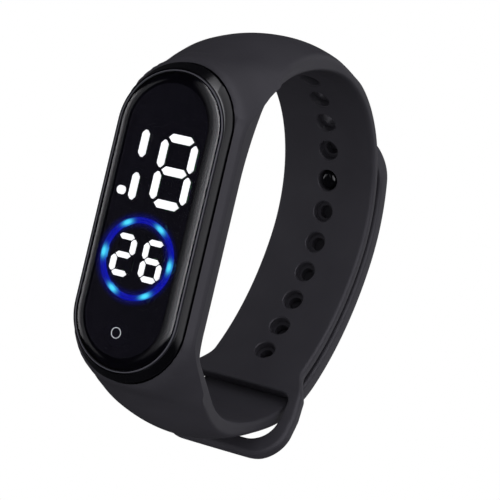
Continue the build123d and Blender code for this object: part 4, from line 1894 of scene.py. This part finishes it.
@dataclass
class DisplaySizes:
    """Places and sizes of the figures, in the face plane."""

    front: float = 0.6
    thickness: float = 0.5
    hour_ones: tuple = (2.47, 7.77, 2.58, 4.89, 2.37)
    hour_tens: tuple = (-3.67, 7.77, 3.22)
    hour_bar: tuple = (4.26, 1.24)
    dot: tuple = (-5.6, 3.6, 0.64)
    dot_inner: float = 0.0001
    minute_tens: tuple = (-2.72, -5.66, 1.42, 2.74, 1.37)
    minute_ones: tuple = (2.38, -5.66, 1.42, 2.74, 1.37)
    minute_bar: tuple = (2.38, 0.86)
    bar_edge: tuple = ((0.08, 0.0), (0.02, 0.02), (0.0, 0.08))
    point_share: float = 1.4
    upright_share: float = 0.84
    ring: tuple = (-5.8, 5.74, 0.84, 6)
    shift: float = -0.2
    halo: tuple = (1.5, 0.035, 0.03)
    mark: tuple = (-0.6, -17.0, 0.78, 0.08)
    mark_depths: tuple = (0.55, 0.59)
    disc_steps: int = 96


SEGMENTS = {
    "top": (0, 1, 0),
    "middle": (0, 0, 0),
    "bottom": (0, -1, 0),
    "upper_left": (-1, 1, 1),
    "upper_right": (1, 1, 1),
    "lower_left": (-1, -1, 1),
    "lower_right": (1, -1, 1),
}
FIGURES = {
    2: ("top", "upper_right", "middle", "lower_left", "bottom"),
    6: ("top", "upper_left", "middle", "lower_left", "lower_right", "bottom"),
    8: tuple(SEGMENTS),
}


class Display:
    """The lit figures, the blue ring with its halo, and the printed touch mark."""

    def __init__(self, sizes: DisplaySizes) -> None:
        """Keeps the sizes.

        Args:
            sizes: The display's sizes.
        """
        self.sizes = sizes

    def figure(self, place: tuple, figure: int, lit: bool = True) -> list:
        """Finds where a figure's segments lie.

        Args:
            place: Middle (x, z), the side columns' and the outer rows' distance, and the uprights' middle.
            figure: The number shown.
            lit: False for the segments that the figure leaves dark.

        Returns:
            Rows of (x, y, z, 1 if upright).
        """
        x, z, column, row, bar = place
        y = self.sizes.front - MODULE_DEPTH
        spots = []
        for name, (across, up, upright) in SEGMENTS.items():
            if (name in FIGURES[figure]) == lit:
                spots.append((x + across * column, y, z + up * (bar if upright else row), upright))
        return spots

    def bar(self, size: tuple) -> bpy.types.Object:
        """Builds one pointed segment lying along X, its front face at Y 0 with softened edges.

        Args:
            size: Its length and width.

        Returns:
            The segment.
        """
        length, width = size
        z = self.sizes
        loops = []
        for inset, depth in (*z.bar_edge, (0.0, z.thickness)):
            half, side = length / 2 - inset * z.point_share, width / 2 - inset
            flat = half - side
            outline = [(-half, 0), (-flat, side), (flat, side), (half, 0), (flat, -side), (-flat, -side)]
            loops.append(np.array([(x, depth, up) for x, up in outline]))
        return skin_rings("bar", loops, Shade.FLAT)

    def disc(self, name: str, centre: tuple, radii: tuple, depths: tuple) -> bpy.types.Object:
        """Builds a flat ring in the face plane.

        Args:
            name: The object's name.
            centre: Its middle (x, z).
            radii: Its inner and outer radius.
            depths: Its front and back.

        Returns:
            The ring.
        """
        (x, z), (inner, outer), (front, back) = centre, radii, depths
        turn = np.linspace(0, 2 * math.pi, self.sizes.disc_steps, endpoint=False)
        loops = []
        for radius, depth in ((outer, back), (outer, front), (inner, front), (inner, back)):
            level = np.full(len(turn), depth - MODULE_DEPTH)
            loops.append(np.c_[x + radius * np.cos(turn), level, z + radius * np.sin(turn)])
        return skin_rings(name, loops, Shade.BY_ANGLE, closed=True)

    def build_figures(self, looks: dict) -> dict:
        """Builds the lit and the dark segments from one bar of each size.

        Args:
            looks: Materials by the name of their finish.

        Returns:
            The pieces by the CAD node that they stand for.
        """
        z = self.sizes
        y = z.front - MODULE_DEPTH
        x, middle, step = z.hour_tens
        tens = [(x, y, middle + side * step, 1) for side in (-1, 1)]
        hour, minute = self.bar(z.hour_bar), self.bar(z.minute_bar)
        lit = self.figure(z.minute_tens, 2) + self.figure(z.minute_ones, 6)
        dark = self.figure(z.minute_tens, 2, False) + self.figure(z.minute_ones, 6, False)
        rows = {
            "hour": (self.figure(z.hour_ones, 8) + tens, hour, looks["digit"]),
            "minute": (lit, minute, looks["digit"]),
            "unlit": (dark, minute, looks["unlit"]),
        }
        made = {}
        for name, row in rows.items():
            made[f"{name}_segments"] = RepeatAt(*row, z.upright_share).build(f"{name}_figures")
        for bar in (hour, minute):
            bpy.data.objects.remove(bar)
        return made

    def build_discs(self, looks: dict) -> tuple:
        """Builds the round parts.

        Args:
            looks: Materials by the name of their finish.

        Returns:
            The dot, the light guide, its halo and the touch mark.
        """
        z = self.sizes
        x, up, radius = z.dot
        centre, middle, width, _ = z.ring
        reach, front, back = z.halo
        mark_x, mark_up, mark_radius, line = z.mark
        body = (z.front, z.front + z.thickness)
        glow = (z.front - front, z.front - back)
        printed = (mark_radius - line / 2, mark_radius + line / 2)
        rows = [
            ("hour_dot", (x, up), (z.dot_inner, radius), body, "digit"),
            ("ring_guide", (z.shift, centre), (middle - width / 2, middle + width / 2), body, "ring"),
            ("ring_halo", (z.shift, centre), (middle - reach, middle + reach), glow, "halo"),
            ("mark_ring", (mark_x, mark_up), printed, z.mark_depths, "mark"),
        ]
        return tuple(dress(self.disc(*row), looks[look]) for *row, look in rows)

    def build(self, looks: dict) -> None:
        """Builds every part of the display and ties it to the module.

        Args:
            looks: Materials by the name of their finish.
        """
        figures = self.build_figures(looks)
        dot, guide, halo, mark = self.build_discs(looks)
        stands = {**figures, "ring_light_guide": guide, "touch_mark": mark}
        for node, piece in stands.items():
            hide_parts(node)
        for piece in (*figures.values(), dot, guide, halo, mark):
            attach(piece, "module")
            LOG.info("%s: %d faces", piece.name, len(piece.data.polygons))


# Studio


@dataclass(frozen=True)
class Lobe:
    """A soft-edged patch of light round the watch.

    azimuth runs in degrees from the watch's front towards its 3 o'clock side, and height is the
    sine of the elevation. soft holds the half widths of the patch's four edges.
    """

    power: float
    azimuth: tuple = (-180.0, 180.0)
    height: tuple = (-1.2, 1.2)
    soft: tuple = (10.0, 10.0, 0.1, 0.1)

    @property
    def all_round(self) -> bool:
        """True where the patch runs round the whole horizon."""
        return self.azimuth[1] - self.azimuth[0] >= 360


class Sky(ShaderNodes):
    """White where the camera looks past the watch, and a studio of soft patches elsewhere."""

    def __init__(self, world: bpy.types.World) -> None:
        """Measures the ray's direction.

        Args:
            world: The world that is painted.
        """
        world.use_nodes = True
        super().__init__(world.node_tree)
        where = self.node("ShaderNodeTexCoord").outputs["Generated"]
        split = self.node("ShaderNodeSeparateXYZ", {0: where})
        x, y, self.height = (Value(self, split.outputs[k]) for k in range(3))
        self.azimuth = x.angle_to(y * -1.0) * (180 / math.pi)

    def light(self, base: float, lobes: tuple) -> Value:
        """Sums a base level and the patches.

        Args:
            base: The level everywhere.
            lobes: The patches.

        Returns:
            The level in the ray's direction.
        """
        total = base
        for lobe in lobes:
            patch = self.band(self.height, *lobe.height, *lobe.soft[2:])
            if not lobe.all_round:
                patch = patch * self.band(self.azimuth, *lobe.azimuth, *lobe.soft[:2])
            total = total + patch * lobe.power
        return total

    def background(self, colour: tuple, level: Value | float = 1.0) -> bpy.types.NodeSocket:
        """A background of one colour and level."""
        return self.node("ShaderNodeBackground", {"Color": colour, "Strength": level}).outputs[0]

    def build(self, matt: Value, gloss: Value, tint: tuple, dim: tuple) -> None:
        """Joins the surroundings by the kind of ray.

        Args:
            matt: The level that lights matt faces.
            gloss: The level that is mirrored.
            tint: The colour of both.
            dim: Colour and level of what is seen through the window.
        """
        rays = self.node("ShaderNodeLightPath")
        out = self.node("ShaderNodeOutputWorld")
        shade = self.background(tint, matt)
        kinds = {
            "Is Glossy Ray": self.background(tint, gloss),
            "Is Transmission Ray": self.background(*dim),
            "Is Camera Ray": self.background((1.0, 1.0, 1.0, 1.0)),
        }
        for kind, other in kinds.items():
            shade = self.node("ShaderNodeMixShader", {0: rays.outputs[kind], 1: shade, 2: other}).outputs[0]
        self.put(out.inputs[0], shade)


@dataclass(frozen=True)
class PhotoCamera:
    """The camera fitted to the photo, in millimetres in the part's frame."""

    place: tuple = (171.642, -293.491, 2.319)
    right: tuple = (0.8545531, 0.4648898, 0.2315524)
    up: tuple = (-0.2078139, -0.1025227, 0.9727808)
    back: tuple = (0.4759752, -0.8794127, 0.0089994)
    focal_pixels: float = 2268.57
    image_pixels: float = 500.0

    def build(self) -> None:
        """Makes the camera and shows the scene through it."""
        data = bpy.data.cameras.new("camera")
        data.sensor_fit = "HORIZONTAL"
        data.angle = 2 * math.atan(self.image_pixels / 2 / self.focal_pixels)
        data.clip_start = 0.01
        obj = bpy.data.objects.new("camera", data)
        bpy.context.scene.collection.objects.link(obj)
        axes = Matrix((self.right, self.up, self.back)).transposed().to_4x4()
        obj.matrix_world = Matrix.Translation(Vector(self.place) * MM) @ axes
        bpy.context.scene.camera = obj


@dataclass(frozen=True)
class Studio:
    """The surroundings, the camera and the view."""

    tint: tuple = (0.955, 0.95, 1.0, 1.0)
    dim: tuple = ((0.7, 0.66, 1.0, 1.0), 0.15)
    matt_base: float = 0.47
    gloss_base: float = 0.015
    matt: tuple = (
        Lobe(0.2, (15.0, 75.0), soft=(25.0, 20.0, 0.1, 0.1)),
        Lobe(0.27, height=(0.35, 1.2), soft=(10.0, 10.0, 0.3, 0.1)),
        Lobe(0.46, (-50.0, 65.0), soft=(25.0, 25.0, 0.1, 0.1)),
        Lobe(0.62, (-40.0, 25.0), (-1.2, -0.2), (25.0, 25.0, 0.1, 0.25)),
    )
    gloss: tuple = (
        Lobe(0.4, (-20.0, 98.0), (-0.32, 1.2), (6.0, 8.0, 0.14, 0.1)),
        Lobe(1.6, (4.0, 98.0), (-0.32, 1.2), (16.0, 8.0, 0.14, 0.1)),
        Lobe(2.6, (44.0, 98.0), (-0.3, 1.2), (14.0, 8.0, 0.14, 0.1)),
        Lobe(1.6, (40.0, 94.0), (0.35, 1.2), (14.0, 6.0, 0.15, 0.1)),
        Lobe(0.75, (108.0, 178.0), (-0.3, 1.2), (10.0, 2.0, 0.14, 0.1)),
        Lobe(0.5, (-74.0, -37.0), (-0.3, 0.26), (4.0, 2.0, 0.08, 0.05)),
        Lobe(1.9, (-74.0, -56.0), (-0.3, 0.26), (4.0, 10.0, 0.08, 0.05)),
    )

    def build(self) -> None:
        """Builds the world and the camera."""
        scene = bpy.context.scene
        scene.world = bpy.data.worlds.new("studio")
        sky = Sky(scene.world)
        matt = sky.light(self.matt_base, self.matt)
        gloss = sky.light(self.gloss_base, self.gloss)
        sky.build(matt, gloss, self.tint, self.dim)
        PhotoCamera().build()
        scene.view_settings.view_transform = "Standard"


# Whole watch

NODE_LOOKS = {
    "mask": ("light_mask",),
    "lamp": ("ring_leds", "digit_leds"),
    "board": ("circuit_board",),
    "chip": ("microcontroller",),
    "holder": ("battery_holder",),
    "case": ("back_cover",),
    "seal": ("cover_seal",),
    "cell": ("battery_can", "battery_cap"),
    "stud": ("stud", "stud_cap"),
    "print": ("touch_electrode",),
    "steel": ("clock_crystal", "contact_negative", "contact_positive", "cover_screws"),
}


class Watch:
    """Everything shown, with the finish of each CAD node that stays visible."""

    def __init__(self, frame: dict) -> None:
        """Makes the finishes.

        Args:
            frame: The loaded frame.
        """
        self.frame = frame
        self.display = DisplaySizes()
        self.looks = self.make_looks()

    def make_looks(self) -> dict:
        """Builds one material for each finish.

        Returns:
            Materials by the name of their finish.
        """
        centre, radius, width, lamps = self.display.ring
        ring = (self.display.shift, centre, radius, lamps)
        reach = self.display.halo[0]
        finishes = {
            "rubber": Rubber(),
            "seal": Rubber("seal_rubber", roughness=0.6),
            "stud": Plastic("stud_gloss", rgb(5, 5, 7), 0.08),
            "case": Plastic("case_plastic", rgb(4, 4, 6), 0.16),
            "gasket": Plastic("gasket_grey", rgb(66, 66, 72), 0.4),
            "mask": DarkPlastic("mask_black", rgb(14, 13, 22)),
            "unlit": DarkPlastic("digit_unlit", rgb(16, 15, 24), 0.6),
            "print": DarkPlastic("border_print", rgb(19, 18, 28)),
            "holder": Plastic("holder_plastic", rgb(40, 41, 44), 0.45),
            "chip": Plastic("chip_black", rgb(26, 26, 28), 0.5),
            "window": SmokedWindow(),
            "digit": Lit("digit_white", (0.97, 0.985, 1.0, 1.0), 1.12),
            "lamp": Plastic("lamp_lens", rgb(24, 28, 70), 0.3),
            # The touch mark is print, not a lamp: its grey glow is painted light.
            "mark": Lit("mark_print", (0.7, 0.71, 0.74, 1.0), 0.5),
            "ring": LitRing("ring_blue", *ring, strength=2.0, band=width * 0.75, soft=0.5),
            "halo": LitRing("ring_halo", *ring, strength=0.86, band=reach, soft=2.2, cover=0.5),
            "steel": Steel("bright_steel"),
            "cell": Steel("battery_steel", (0.66, 0.65, 0.62, 1.0), 0.34),
            "board": BoardFinish(),
        }
        return {name: finish.build() for name, finish in finishes.items()}

    def dress_nodes(self) -> None:
        """Finishes the CAD nodes that are shown as they are."""
        for look, names in NODE_LOOKS.items():
            for name in names:
                node = self.frame["nodes"][name]
                dress(node, self.looks[look])
                smooth(node, Shade.BY_ANGLE)
                LOG.info("%s dressed as %s", name, look)

    def build(self) -> None:
        """Dresses the CAD nodes and builds what takes the place of the others."""
        self.dress_nodes()
        Strap(StrapSizes(), StrapMesh(), self.looks["rubber"]).build()
        Module(ModuleSizes()).build(self.looks)
        Display(self.display).build(self.looks)
        Studio().build()


def main() -> None:
    """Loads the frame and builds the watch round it."""
    logging.basicConfig(level=logging.INFO, format="%(name)s: %(message)s")
    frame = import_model()
    Watch(frame).build()


if __name__ == "__main__":
    main()
